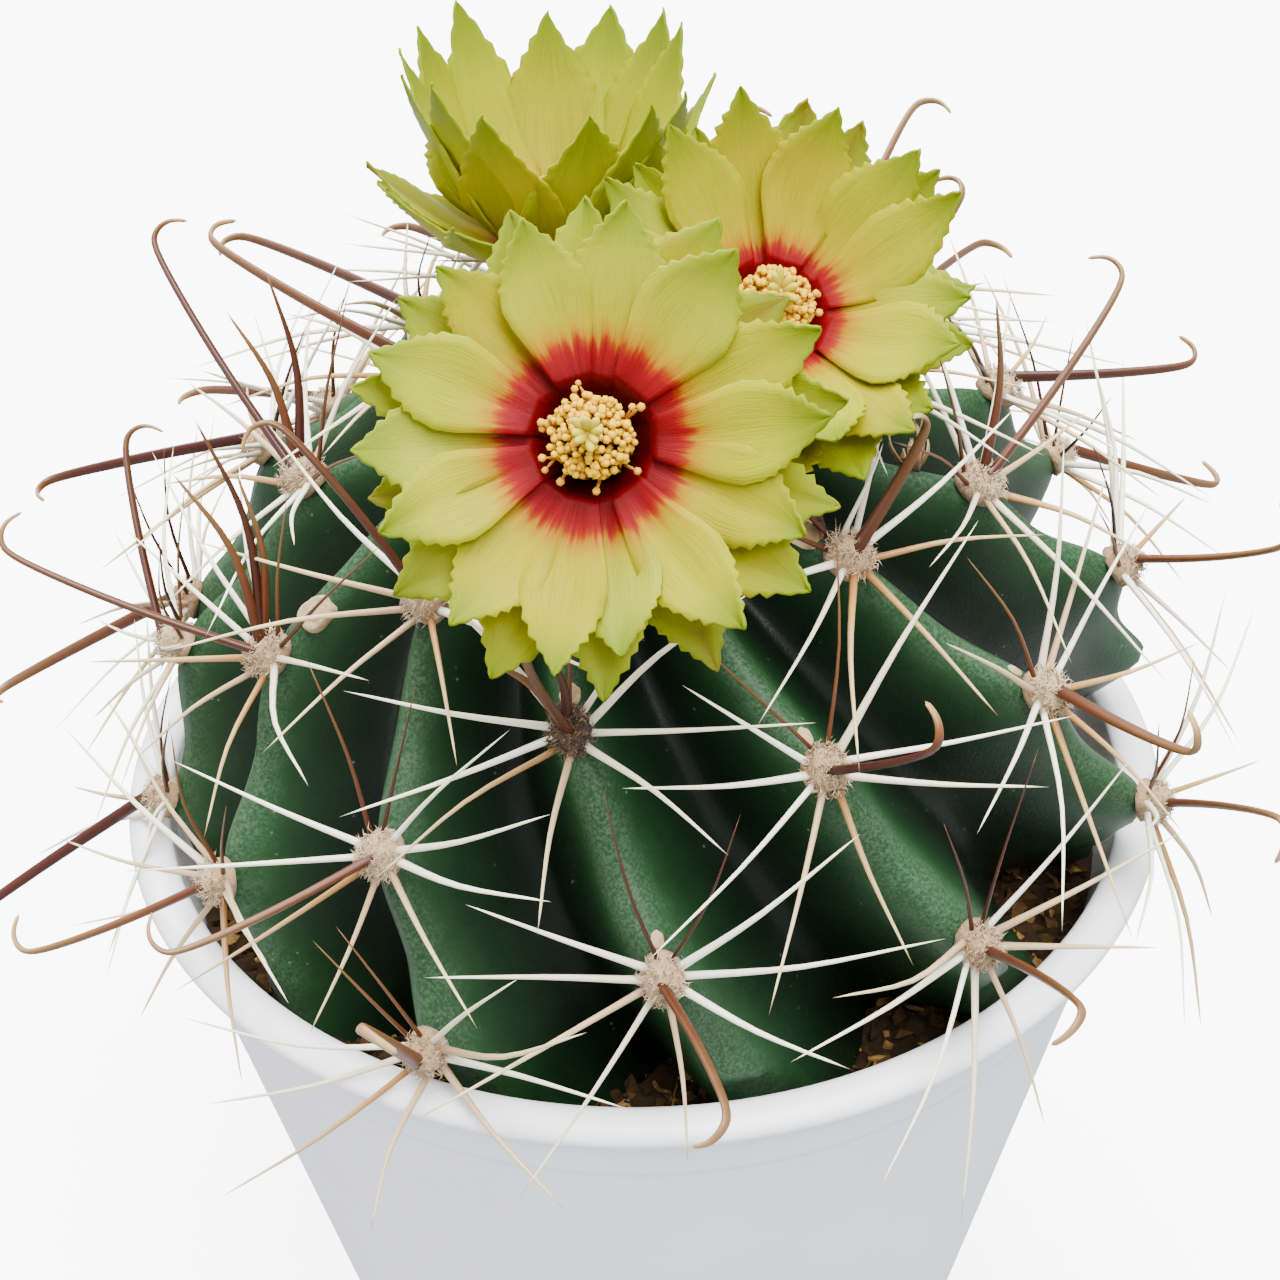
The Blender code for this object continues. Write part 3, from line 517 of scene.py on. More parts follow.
def satin_tepal(settings):
    # Thin petal tissue: satin cells in lengthwise rows over a translucent leaf.
    made, tree, shader = new_material(
        "satin_tepal", IOR=1.36, Specular_IOR_Level=0.12, Subsurface_Weight=0.2
    )
    shader.inputs["Subsurface Radius"].default_value = (1.0, 0.9, 0.25)
    shader.inputs["Subsurface Scale"].default_value = 0.0012
    reach = add_node(tree, "ShaderNodeAttribute", {"attribute_name": "reach"}).outputs["Fac"]
    along = add_node(tree, "ShaderNodeAttribute", {"attribute_name": "along"}).outputs["Fac"]
    across = add_node(tree, "ShaderNodeAttribute", {"attribute_name": "across"}).outputs["Fac"]
    tone = add_node(tree, "ShaderNodeAttribute", {"attribute_name": "tone"}).outputs["Fac"]
    rows = add_node(
        tree, "ShaderNodeMath", {"operation": "MULTIPLY_ADD"}, {0: tone, 1: 37.0, 2: across}
    ).outputs["Value"]
    strip = add_node(tree, "ShaderNodeCombineXYZ", inputs={"X": rows, "Y": along}).outputs["Vector"]
    flames = add_node(
        tree,
        "ShaderNodeMapping",
        inputs={"Vector": strip, "Scale": (3.2, 0.9, 1.0)},
    ).outputs["Vector"]
    flames = add_node(
        tree, "ShaderNodeTexNoise", inputs={"Vector": flames, "Scale": 1.6, "Detail": 3.0}
    ).outputs["Fac"]
    edge = add_node(
        tree, "ShaderNodeMath", {"operation": "MULTIPLY_ADD"}, {0: flames, 1: -0.16, 2: reach}
    ).outputs["Value"]
    throat = settings.throat_radius / TEPAL_SPAN - 0.08
    tint = add_node(
        tree,
        "ShaderNodeValToRGB",
        {
            "stops": [
                (throat - 0.13, tuple(c * 0.5 for c in settings.throat)),
                (throat - 0.02, tuple(settings.throat)),
                (throat + 0.012, linear("7E2604")),
                (throat + 0.045, linear("8D6002")),
                (throat + 0.12, linear("8E7D00")),
                (0.8, linear("888600")),
            ]
        },
        {"Fac": edge},
    ).outputs["Color"]
    # Each tepal has its own share of gold, lime or pale lime towards its outer half.
    hues = add_node(
        tree,
        "ShaderNodeValToRGB",
        {"stops": [(0.1, linear("887E00")), (0.5, tuple(settings.yellow)), (0.95, linear("82881C"))]},
        {"Fac": tone},
    ).outputs["Color"]
    outer = add_node(
        tree,
        "ShaderNodeMapRange",
        {"interpolation_type": "SMOOTHSTEP"},
        {"Value": along, "From Min": 0.2, "From Max": 0.6, "To Max": 0.9},
    ).outputs["Result"]
    tint = add_node(
        tree, "ShaderNodeMix", {"data_type": "RGBA"}, {0: outer, 6: tint, 7: hues}
    ).outputs[2]
    veins = add_node(
        tree, "ShaderNodeMapping", inputs={"Vector": strip, "Scale": (14.0, 1.3, 1.0)}
    ).outputs["Vector"]
    veins = add_node(
        tree, "ShaderNodeTexNoise", inputs={"Vector": veins, "Scale": 2.2, "Detail": 4.0}
    ).outputs["Fac"]
    greener = add_node(
        tree,
        "ShaderNodeMapRange",
        {"interpolation_type": "SMOOTHSTEP"},
        {"Value": along, "From Min": 0.62, "From Max": 1.0, "To Max": 0.9},
    ).outputs["Result"]
    tint = add_node(
        tree, "ShaderNodeMix", {"data_type": "RGBA"}, {0: greener, 6: tint, 7: (*settings.tip, 1)}
    ).outputs[2]
    faint = add_node(
        tree,
        "ShaderNodeMapRange",
        inputs={"Value": veins, "From Min": 0.45, "From Max": 0.7, "To Max": 0.3},
    ).outputs["Result"]
    tint = add_node(
        tree,
        "ShaderNodeMix",
        {"data_type": "RGBA", "blend_type": "MULTIPLY"},
        {0: faint, 6: tint, 7: (*linear("A9B040"), 1)},
    ).outputs[2]
    stripe = add_node(tree, "ShaderNodeAttribute", {"attribute_name": "stripe"}).outputs["Fac"]
    tint = add_node(
        tree, "ShaderNodeMix", {"data_type": "RGBA"}, {0: stripe, 6: tint, 7: (*linear("603219"), 1)}
    ).outputs[2]
    tree.links.new(tint, shader.inputs["Base Color"])
    gloss = add_node(
        tree,
        "ShaderNodeMapRange",
        inputs={"Value": veins, "From Min": 0.3, "From Max": 0.7, "To Min": 0.34, "To Max": 0.5},
    ).outputs["Result"]
    tree.links.new(gloss, shader.inputs["Roughness"])
    bump = add_node(
        tree, "ShaderNodeBump", inputs={"Height": veins, "Strength": 0.35, "Distance": 0.0002}
    ).outputs["Normal"]
    tree.links.new(bump, shader.inputs["Normal"])
    return made


def stamen_thread(settings):
    # Soft filaments with powdery pollen heads: the pollen end is matt and a little paler.
    made, tree, shader = new_material("stamen_thread", Roughness=0.7, Specular_IOR_Level=0.1)
    along = add_node(tree, "ShaderNodeAttribute", {"attribute_name": "along"}).outputs["Fac"]
    tone = add_node(tree, "ShaderNodeAttribute", {"attribute_name": "tone"}).outputs["Fac"]
    plain = add_node(
        tree,
        "ShaderNodeValToRGB",
        {
            "stops": [
                (0.0, linear("7B1006")),
                (0.3, linear("AE6706")),
                (0.6, tuple(settings.stamen)),
                (1.0, linear("D2AA00")),
            ]
        },
        {"Fac": along},
    ).outputs["Color"]
    tint = add_node(
        tree, "ShaderNodeMix", {"data_type": "RGBA"}, {0: tone, 6: plain, 7: (*linear("BB6A45"), 1)}
    ).outputs[2]
    tree.links.new(tint, shader.inputs["Base Color"])
    return made


def downy_stigma():
    # Soft papillae on the stigma lobes: pale, matt yellow.
    made, tree, shader = new_material("downy_stigma", Roughness=0.75, Specular_IOR_Level=0.15)
    along = add_node(tree, "ShaderNodeAttribute", {"attribute_name": "along"}).outputs["Fac"]
    tint = add_node(
        tree,
        "ShaderNodeValToRGB",
        {"stops": [(0.0, linear("8D6809")), (0.5, linear("A89310")), (1.0, linear("B2A435"))]},
        {"Fac": along},
    ).outputs["Color"]
    tree.links.new(tint, shader.inputs["Base Color"])
    return made


def scaly_tube():
    # Fleshy green receptacle with paler margins on its scales.
    made, tree, shader = new_material("scaly_tube", Roughness=0.5, IOR=1.42, Subsurface_Weight=0.08)
    shader.inputs["Subsurface Scale"].default_value = 0.001
    along = add_node(tree, "ShaderNodeAttribute", {"attribute_name": "along"}).outputs["Fac"]
    place = add_node(tree, "ShaderNodeNewGeometry").outputs["Position"]
    cloud = add_node(
        tree, "ShaderNodeTexNoise", inputs={"Vector": place, "Scale": 500.0, "Detail": 4.0}
    ).outputs["Fac"]
    mixed = add_node(
        tree, "ShaderNodeMath", {"operation": "MULTIPLY_ADD"}, {0: cloud, 1: 0.3, 2: along}
    ).outputs["Value"]
    tint = add_node(
        tree,
        "ShaderNodeValToRGB",
        {
            "stops": [
                (0.1, linear("3A501F")),
                (0.55, linear("5F702F")),
                (0.9, linear("8C8B45")),
                (1.15 / 1.3, linear("9A8168")),
            ]
        },
        {"Fac": mixed},
    ).outputs["Color"]
    tree.links.new(tint, shader.inputs["Base Color"])
    bump = add_node(
        tree, "ShaderNodeBump", inputs={"Height": cloud, "Strength": 0.3, "Distance": 0.0002}
    ).outputs["Normal"]
    tree.links.new(bump, shader.inputs["Normal"])
    return made


# --- mesh helpers ---------------------------------------------------------------------------


class Bundle:
    """Vertices, faces and per-vertex values of one piece while it is being made."""

    def __init__(self):
        self.vertices = []
        self.faces = []
        self.fields = {}

    def add(self, points, faces, **values):
        """Adds a patch of points and faces. A value is one number or a list with one for each point."""
        first = len(self.vertices)
        for name in values:
            self.fields.setdefault(name, [0.0] * first)
        for name, column in self.fields.items():
            value = values.get(name, 0.0)
            column.extend(value if isinstance(value, list) else [value] * len(points))
        self.vertices.extend(points)
        self.faces.extend(tuple(first + index for index in face) for face in faces)

    def tube(self, path, radii, sides, flat=1.0, wide=None, until=1.0, **values):
        """A round or flattened tube that closes to its last point, where "along" reaches until."""
        points, faces, along = [], [], []
        count = len(path)
        tangent = (path[1] - path[0]).normalized()
        across = wide if wide is not None else tangent.orthogonal()
        across = (across - tangent * across.dot(tangent)).normalized()
        for index in range(count - 1):
            if 0 < index:
                ahead = (path[index + 1] - path[index - 1]).normalized()
                across = tangent.rotation_difference(ahead) @ across
                tangent = ahead
            other = tangent.cross(across)
            for side in range(sides):
                angle = math.tau * side / sides
                reach = across * math.cos(angle) + other * math.sin(angle) * flat
                points.append(path[index] + reach * radii[index])
                along.append(until * index / (count - 1))
        points.append(path[-1])
        along.append(until)
        tip = len(points) - 1
        faces.append(tuple(reversed(range(sides))))
        for index in range(count - 2):
            for side in range(sides):
                beside = (side + 1) % sides
                low, high = index * sides, (index + 1) * sides
                faces.append((low + side, low + beside, high + beside, high + side))
        last = (count - 2) * sides
        for side in range(sides):
            faces.append((last + side, last + (side + 1) % sides, tip))
        self.add(points, faces, along=along, **values)

    def piece(self, name, material, slot, nodes=(), smooth=True):
        """Makes the piece, which rides on the root body and stands for the CAD nodes."""
        mesh = bpy.data.meshes.new(name)
        mesh.from_pydata(self.vertices, [], self.faces)
        for field, values in self.fields.items():
            layer = mesh.attributes.new(field, "FLOAT", "POINT")
            layer.data.foreach_set("value", values)
        mesh.materials.append(material)
        if smooth:
            mesh.shade_smooth()
        obj = bpy.data.objects.new(name, mesh)
        bpy.context.scene.collection.objects.link(obj)
        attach(obj, "root")
        if nodes:
            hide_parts(*nodes)
        return obj


def loft_faces(rings, sides, closed=True):
    """Quads between rings of points. A closed ring joins its last side to its first."""
    faces = []
    for ring in range(rings - 1):
        for side in range(sides if closed else sides - 1):
            beside = (side + 1) % sides
            low, high = ring * sides, (ring + 1) * sides
            faces.append((low + side, low + beside, high + beside, high + side))
    return faces


def smooth_line(points, count):
    """A Catmull-Rom line through the points, with an even count of points."""
    ends = [points[0] * 2 - points[1]] + list(points) + [points[-1] * 2 - points[-2]]
    line = []
    for step in range(count):
        place = step / (count - 1) * (len(points) - 1)
        index = min(int(place), len(points) - 2)
        t = place - index
        p0, p1, p2, p3 = ends[index : index + 4]
        square = p0 * 2 - p1 * 5 + p2 * 4 - p3
        cube = p1 * 3 - p0 - p2 * 3 + p3
        line.append((p1 * 2 + (p2 - p0) * t + square * t * t + cube * t * t * t) * 0.5)
    return line


def spline_line(points, count):
    """A B-spline line that rounds off the corners between its two ends."""
    ends = [points[0] * 2 - points[1]] + list(points) + [points[-1] * 2 - points[-2]]
    line = []
    for step in range(count):
        place = step / (count - 1) * (len(points) - 1)
        index = min(int(place), len(points) - 2)
        t = place - index
        p0, p1, p2, p3 = ends[index : index + 4]
        first, last = (1 - t) ** 3, t ** 3
        second, third = 3 * t ** 3 - 6 * t * t + 4, -3 * t ** 3 + 3 * t * t + 3 * t + 1
        line.append((p0 * first + p1 * second + p2 * third + p3 * last) / 6)
    return line


def mean(points):
    return sum(points, Vector()) / len(points)


def welded(node):
    """Points of a CAD node with doubles merged, and the neighbours and corner angle of each."""
    mesh = frame["nodes"][node].data
    index_of, points = {}, []
    lookup = []
    for vertex in mesh.vertices:
        key = tuple(round(c * 1e6) for c in vertex.co)
        if key not in index_of:
            index_of[key] = len(points)
            points.append(vertex.co.copy())
        lookup.append(index_of[key])
    neighbours = [set() for _ in points]
    angles = [0.0] * len(points)
    for face in mesh.polygons:
        corners = [lookup[index] for index in face.vertices]
        for place, corner in enumerate(corners):
            before, after = corners[place - 1], corners[(place + 1) % len(corners)]
            neighbours[corner] |= {before, after}
            angles[corner] += (points[before] - points[corner]).angle(points[after] - points[corner], 0)
    return points, neighbours, angles


# --- stem -----------------------------------------------------------------------------------

RIBS = 13
RIB_START = math.radians(0.3)
RIB_TWIST = 0.316
AREOLE_ZERO = math.radians(37.6)
AREOLE_PITCH = math.radians(25.2)
CROWN_DIMPLE = 2.5 * MM
STEM_CLEARANCE = 1.0 * MM  # to the pot's mouth
STEM_SOIL_SPACE = 1.65 * MM  # to the pot's wall below the rim
SHOULDER_SLOPE = 0.6  # how fast the stem widens again over the rim


class StemShape:
    """The stem's skin as a function of rib, place across the rib, and angle from the crown."""

    def __init__(self, stem, pot):
        self.stem = stem
        self.frame = (
            Matrix.Translation((stem.offset, 0, RIM_Z + stem.above_rim))
            @ Matrix.Rotation(-stem.lean_left, 4, "Y")
            @ Matrix.Rotation(stem.lean_front, 4, "X")
        )
        self.mouth = RIM_RADIUS - pot.lip_width
        self.pot = pot
        self.crown = self.frame @ Vector((0, 0, stem.crown_height))

    def azimuth(self, rib, polar):
        """Direction of a rib, counted from the front: ribs are unevenly spaced and twist a little."""
        even = RIB_START + rib * math.tau / RIBS + RIB_TWIST * (polar - math.radians(60))
        return even + math.radians(3.6) * math.sin(even) + math.radians(1.7) * math.sin(2 * even)

    def tubercle(self, rib, polar):
        """1 where the rib swells under an areole and 0 halfway between two areoles."""
        phase = (polar - AREOLE_ZERO) / AREOLE_PITCH - rib * 5 / RIBS
        return math.cos(math.pi * (phase - round(phase))) ** 2

    def limit(self, height):
        """Largest distance from the pot's axis, where the stem is pressed against the pot."""
        inside = self.mouth - STEM_CLEARANCE
        if height > RIM_Z:
            return inside + SHOULDER_SLOPE * (height - RIM_Z)
        return min(inside, pot_inner_radius(self.pot, height) - STEM_SOIL_SPACE)

    def ridge(self, across):
        """1 on a rib's crest and 0 in the valley: straight flanks that meet in a rounded crest."""
        soft = 0.24
        fall = math.hypot(2 * across, soft) - soft
        return (1 - fall / (math.hypot(1, soft) - soft)) ** 1.7

    def point(self, rib, across, polar):
        """The skin's point at a place across a rib, from -0.5 to 0.5, and an angle from the crown."""
        stem = self.stem
        ridge = self.ridge(across)
        valley = stem.valley_depth * math.sin(polar) ** 0.8
        dip = stem.tubercle_height * math.sin(polar) * (1 - self.tubercle(rib, polar))
        scale = 1 - (valley * (1 - ridge) + dip * ridge) / stem.radius
        azimuth = self.azimuth(rib + across, polar)
        upright = stem.crown_height if polar < math.pi / 2 else stem.base_depth
        dimple = CROWN_DIMPLE * math.exp(-((polar / math.radians(14)) ** 2))
        reach = stem.radius * scale * math.sin(polar)
        local = Vector((
            reach * math.sin(azimuth),
            -reach * math.cos(azimuth),
            upright * scale * math.cos(polar) - dimple,
        ))
        point = self.frame @ local
        limit = self.limit(point.z)
        distance = math.hypot(point.x, point.y)
        if distance > limit:
            point.x *= limit / distance
            point.y *= limit / distance
        return point


def pot_outer_radius(pot, height):
    """Radius of the pot's outside below its collar."""
    share = height / (RIM_Z - pot.lip_height)
    top = RIM_RADIUS - pot.lip_overhang - pot.collar_step
    return pot.foot_radius + (top - pot.foot_radius) * share


def pot_inner_radius(pot, height):
    """Radius of the pot's inside below its rim."""
    return pot_outer_radius(pot, height) - pot.wall


def make_stem(scene):
    """The ribbed stem: rows from the crown to the foot, closer where the skin shows."""
    shape = StemShape(scene.cactus_stem, scene.cactus_pot)
    per_rib = 22
    rows = [math.radians(2 + 1.25 * step) for step in range(92)]
    rows += [math.radians(118 + 6 * step) for step in range(10)]
    points, crest, faces = [], [], []
    for polar in rows:
        for rib in range(RIBS):
            for column in range(per_rib):
                # Columns crowd towards the crest and the valley, where the skin bends most.
                even = column / per_rib - 0.5
                across = even + 0.035 * math.sin(2 * math.tau * even)
                ridge = shape.ridge(across)
                point = shape.point(rib, across, polar)
                away = (point - shape.frame.translation).normalized()
                ripple = noise.noise(point * 260) * 0.22 + noise.noise(point * 90) * 0.5
                points.append(point + away * ripple * 0.5 * MM * min(1, 4 * math.sin(polar)))
                crest.append(ridge)
    sides = RIBS * per_rib
    faces = loft_faces(len(rows), sides)
    faces = [tuple(reversed(face)) for face in faces]
    points += [shape.point(0, 0, 0.0), shape.point(0, 0, math.pi)]
    crest += [0.6, 0.0]
    last = (len(rows) - 1) * sides
    for side in range(sides):
        beside = (side + 1) % sides
        faces.append((len(points) - 2, beside, side))
        faces.append((len(points) - 1, last + side, last + beside))
    body = Bundle()
    body.add(points, faces, crest=crest)
    material = waxy_epidermis(scene.cactus_stem)
    return body.piece("ribbed_stem", material, "stem_skin", ["cactus_stem"])


# --- pot and soil ---------------------------------------------------------------------------


FOOT_EDGE = 1.2 * MM  # rounding round the foot


def make_pot(scene):
    """A turned body with a rolled rim, a collar step, a soft foot edge and drain holes."""
    pot = scene.cactus_pot
    lip_middle = RIM_RADIUS - pot.lip_width / 2
    under_lip = RIM_Z - pot.lip_height
    collar_foot = RIM_Z - pot.collar_height
    profile = [(0, 0), (pot.foot_radius - FOOT_EDGE, 0)]
    for step in range(5):
        angle = math.pi / 2 * step / 4
        across = pot.foot_radius - FOOT_EDGE + FOOT_EDGE * math.sin(angle)
        profile.append((across, FOOT_EDGE * (1 - math.cos(angle))))
    for height in (10, 20, 30, 40, 50):
        profile.append((pot_outer_radius(pot, height * MM), height * MM))
    step_radius = pot_outer_radius(pot, collar_foot)
    profile.append((step_radius - 0.1 * MM, collar_foot - 0.9 * MM))
    profile.append((step_radius, collar_foot - 0.55 * MM))
    profile.append((step_radius + pot.collar_step * 0.5, collar_foot - 0.25 * MM))
    profile.append((step_radius + pot.collar_step, collar_foot))
    profile.append((step_radius + pot.collar_step + 0.1 * MM, collar_foot + 0.5 * MM))
    profile.append((RIM_RADIUS - pot.lip_overhang, under_lip - 0.5 * MM))
    profile.append((RIM_RADIUS - pot.lip_overhang + 0.25 * MM, under_lip - 0.1 * MM))
    profile.append((RIM_RADIUS - 0.7 * MM, under_lip - 0.02 * MM))
    for step in range(15):
        angle = math.radians(-35 + 215 * step / 14)
        across = pot.lip_width / 2 * math.cos(angle)
        rise = pot.lip_height / 2 * math.sin(angle)
        profile.append((lip_middle + across, RIM_Z - pot.lip_height / 2 + rise))
    profile.append((pot_inner_radius(pot, under_lip) - 0.05 * MM, under_lip - 0.3 * MM))
    for height in (60, 50, 40, 30, 20, 10):
        profile.append((pot_inner_radius(pot, height * MM), height * MM))
    profile.append((pot_inner_radius(pot, pot.floor) - 0.5 * MM, pot.floor + 0.5 * MM))
    profile.append((pot_inner_radius(pot, pot.floor) - 1.0 * MM, pot.floor))
    profile.append((0, pot.floor))
    sides = 192
    points = []
    for radius, height in profile[1:-1]:
        for side in range(sides):
            angle = math.tau * side / sides
            points.append(Vector((radius * math.cos(angle), radius * math.sin(angle), height)))
    faces = loft_faces(len(profile) - 2, sides)
    points += [Vector((0, 0, 0)), Vector((0, 0, pot.floor))]
    last = (len(profile) - 3) * sides
    for side in range(sides):
        beside = (side + 1) % sides
        faces.append((len(points) - 2, beside, side))
        faces.append((len(points) - 1, last + side, last + beside))
    body = Bundle()
    body.add(points, faces)
    piece = body.piece("nursery_pot", moulded_polypropylene(pot), "white_plastic", ["pot"])
    for hole in range(4):
        angle = math.tau * (hole + 0.5) / 4
        drill = bpy.ops.mesh.primitive_cylinder_add
        drill(
            vertices=40,
            radius=pot.drain_radius,
            depth=4 * pot.floor,
            location=(pot.drain_circle * math.cos(angle), pot.drain_circle * math.sin(angle), 0),
        )
        cutter = bpy.context.object
        cut = piece.modifiers.new("drain", "BOOLEAN")
        cut.operation = "DIFFERENCE"
        cut.solver = "EXACT"
        cut.object = cutter
        bpy.context.view_layer.objects.active = piece
        bpy.ops.object.modifier_apply(modifier=cut.name)
        bpy.data.objects.remove(cutter, do_unlink=True)
    return piece


def make_soil(scene):
    """A crumbly bed with loose crumbs, bark bits and fibres, in the ring round the stem."""
    soil, pot = scene.cactus_soil, scene.cactus_pot
    material = peat_mix(soil)
    level = RIM_Z - soil.below_rim
    draw = random.Random(5)
    sides, rings = 150, 46
    outer = pot_inner_radius(pot, level) - 0.3 * MM
    inner = outer * 0.55
    points, tone = [], []

    def surface(x, y):
        place = Vector((x, y, 0))
        swell = noise.noise(place * 90) * 1.3 + noise.noise(place * 420) * 0.7
        return level + (swell + noise.noise(place * 1100) * 0.3) * MM

    for ring in range(rings):
        radius = inner + (outer - inner) * ring / (rings - 1)
        for side in range(sides):
            angle = math.tau * side / sides
            x, y = radius * math.cos(angle), radius * math.sin(angle)
            points.append(Vector((x, y, surface(x, y))))
            tone.append(0.1 + 0.25 * noise.noise(Vector((x, y, 0)) * 500))
    body = Bundle()
    faces = loft_faces(rings, sides)
    faces = [tuple(reversed(face)) for face in faces]
    low = len(points)
    floor = pot.floor + 0.4 * MM
    foot = pot_inner_radius(pot, floor) - 0.5 * MM
    for side in range(sides):
        angle = math.tau * side / sides
        points.append(Vector((foot * math.cos(angle), foot * math.sin(angle), floor)))
    tone += [0.1] * sides
    points += [Vector((0, 0, level - 3 * MM)), Vector((0, 0, floor))]
    tone += [0.1, 0.1]
    last = (rings - 1) * sides
    for side in range(sides):
        beside = (side + 1) % sides
        faces.append((len(points) - 2, side, beside))
        faces.append((last + side, last + beside, low + beside, low + side))
        faces.append((low + side, low + beside, len(points) - 1))
    body.add(points, [tuple(reversed(face)) for face in faces], tone=tone)
    bed = body.piece("soil_bed", material, "potting_soil", ["soil"])

    crumbs = Bundle()
    axes = np.eye(3)
    octahedron = [Vector(sign * axis) for axis in axes for sign in (1, -1)]
    eight = ((0, 2, 4), (2, 1, 4), (1, 3, 4), (3, 0, 4), (2, 0, 5), (1, 2, 5), (3, 1, 5), (0, 3, 5))
    for _ in range(soil.crumbs):
        angle = draw.uniform(0, math.tau)
        radius = outer * math.sqrt(draw.uniform(0.55, 0.97))
        x, y = radius * math.cos(angle), radius * math.sin(angle)
        size = draw.choice((0.35, 0.5, 0.7, 1.0, 1.4)) * draw.uniform(0.7, 1.2) * MM
        spin = draw.uniform(0, math.tau)
        turn = Matrix.Rotation(spin, 3, Vector((draw.random(), draw.random(), draw.random() + 0.1)))
        stretch = Vector((draw.uniform(0.6, 1.3), draw.uniform(0.5, 1), draw.uniform(0.35, 0.8)))
        middle = Vector((x, y, surface(x, y) + size * 0.15))
        corners = [middle + turn @ (corner * stretch) * size for corner in octahedron]
        reach = max(math.hypot(p.x, p.y) for p in corners)
        if reach > outer:
            continue
        shade = draw.choice((0.0, 0.1, 0.2, 0.3, 0.45, 0.7))
        crumbs.add(corners, eight, tone=shade)
    crumbs.piece("soil_crumbs", material, "potting_soil", smooth=False)

    fibres = Bundle()
    for _ in range(soil.fibres):
        angle = draw.uniform(0, math.tau)
        radius = outer * draw.uniform(0.8, 0.95)
        heading = draw.uniform(0, math.tau)
        path = []
        for step in range(5):
            x, y = radius * math.cos(angle), radius * math.sin(angle)
            x += math.cos(heading) * step * 0.8 * MM
            y += math.sin(heading) * step * 0.8 * MM
            heading += draw.uniform(-0.5, 0.5)
            if math.hypot(x, y) > outer:
                break
            path.append(Vector((x, y, surface(x, y) + draw.uniform(0.1, 0.7) * MM)))
        if len(path) > 2:
            width = draw.uniform(0.06, 0.25) * MM
            fibres.tube(path, [width] * len(path), 5, tone=draw.uniform(0.3, 0.75))
    fibres.piece("soil_fibres", material, "potting_soil")
    return bed


# --- areoles --------------------------------------------------------------------------------


class CadAreole:
    """Where the CAD solid of one areole has its cushion, radial spines and hooked spine."""

    def __init__(self, node):
        points, neighbours, angles = welded(node)
        self.radials = []
        cushion = set()
        self.hook = []
        for tip, around in enumerate(neighbours):
            if angles[tip] > math.radians(200):
                continue
            if len(around) == 4:
                feet = set().union(*(neighbours[index] for index in around)) - around - {tip}
                cushion |= feet
                foot = mean([points[index] for index in feet])
                middle = mean([points[index] for index in around])
                self.radials.append((foot, middle, points[tip]))
            elif len(around) == 5:
                seen, ring = {tip}, set(around)
                line = [points[tip]]
                while len(ring) == 5:
                    line.append(mean([points[index] for index in ring]))
                    seen |= ring
                    ring = set().union(*(neighbours[index] for index in ring)) - seen
                cap = [points[index] for index in ring]
                line.append(mean(cap))
                self.hook = line[::-1]
        if not self.hook or not self.radials:
            raise RuntimeError(f"{node}: its spines could not be read")
        spread = np.array([p - mean(cap) for p in cap])
        self.out = Vector(np.linalg.svd(spread)[2][2])
        self.seat = mean([points[index] for index in cushion])
        if self.out.dot(self.hook[0] - self.seat) < 0:
            self.out = -self.out


# Straight brown central spines beside the hooked one: direction and length in mm.
EXTRA_SPINES = {
    "areole_11": (((-0.16, 0.1, 1.0), 20), ((-0.3, 0.0, 1.0), 17), ((-0.05, 0.15, 1.0), 15)),
    "areole_08": (((-0.62, -0.1, 0.8), 9), ((-0.2, 0.0, 1.0), 7)),
    "areole_06": (((-0.1, 0.3, 1.0), 16), ((-0.35, 0.2, 1.0), 14)),
    "areole_10": (((0.02, 0.1, 1.0), 15),),
}
OLD_WOOL = ("areole_08", "areole_01")  # areoles whose wool has gone dark
# Corky spots above an areole: distance, length and width in mm, and how much they look like bark.
CORK = {
    "areole_05": ((5, 5.2, 3.8, 1.0),),
    "areole_11": ((5, 3.4, 2.6, 0.3),),
    "areole_13": ((3, 1.8, 1.2, 0.0),),
    "areole_21": ((3, 1.6, 1.1, 0.0),),
    "areole_08": ((3, 1.9, 1.5, 0.2),),
    "areole_18": ((3, 1.4, 1.0, 0.0),),
}


def add_wool(wool, cad, spines, draw, up, right, tone):
    """A felted cushion under a fleece of short curled hairs."""
    rings, sides = 8, 24
    points, tones = [], []
    for ring in range(rings):
        rise = math.pi / 2 * ring / (rings - 1)
        for side in range(sides):
            angle = math.tau * side / sides
            along = up * math.cos(angle) * 1.12 + right * math.sin(angle) * 0.95
            radius = spines.wool_radius * max(0.02, math.cos(rise)) ** 0.8
            height = -1.2 * MM + (spines.wool_height + 1.2 * MM) * math.sin(rise)
            point = cad.seat + along * radius + cad.out * height
            lump = noise.noise(point * 700) * 0.5 + noise.noise(point * 1600) * 0.3
            points.append(point + (along + cad.out) * lump * 0.5 * MM)
            tones.append(tone + 0.2 * ring / rings)
    wool.add(points, loft_faces(rings, sides) + [tuple(reversed(range(sides)))], tone=tones)
    for _ in range(spines.hairs):
        angle, rise = draw.uniform(0, math.tau), draw.uniform(-0.2, 1.45)
        along = up * math.cos(angle) * 1.12 + right * math.sin(angle) * 0.95
        start = cad.seat + along * spines.wool_radius * max(0, math.cos(rise)) * 0.95
        start += cad.out * (spines.wool_height * math.sin(rise) - 0.1 * MM)
        stray = Vector(draw.gauss(0, 0.7) for _ in range(3))
        way = (along * math.cos(rise) + cad.out * (math.sin(rise) + 0.2) + stray).normalized()
        side = way.orthogonal() * draw.uniform(-1, 1)
        length = draw.uniform(0.35, 1.0) * MM
        hair = [start, start + way * length * 0.5, start + (way + side).normalized() * length]
        wool.tube(hair, [0.055 * MM, 0.045 * MM, 0.02 * MM], 3, tone=tone + draw.uniform(0.1, 0.5))


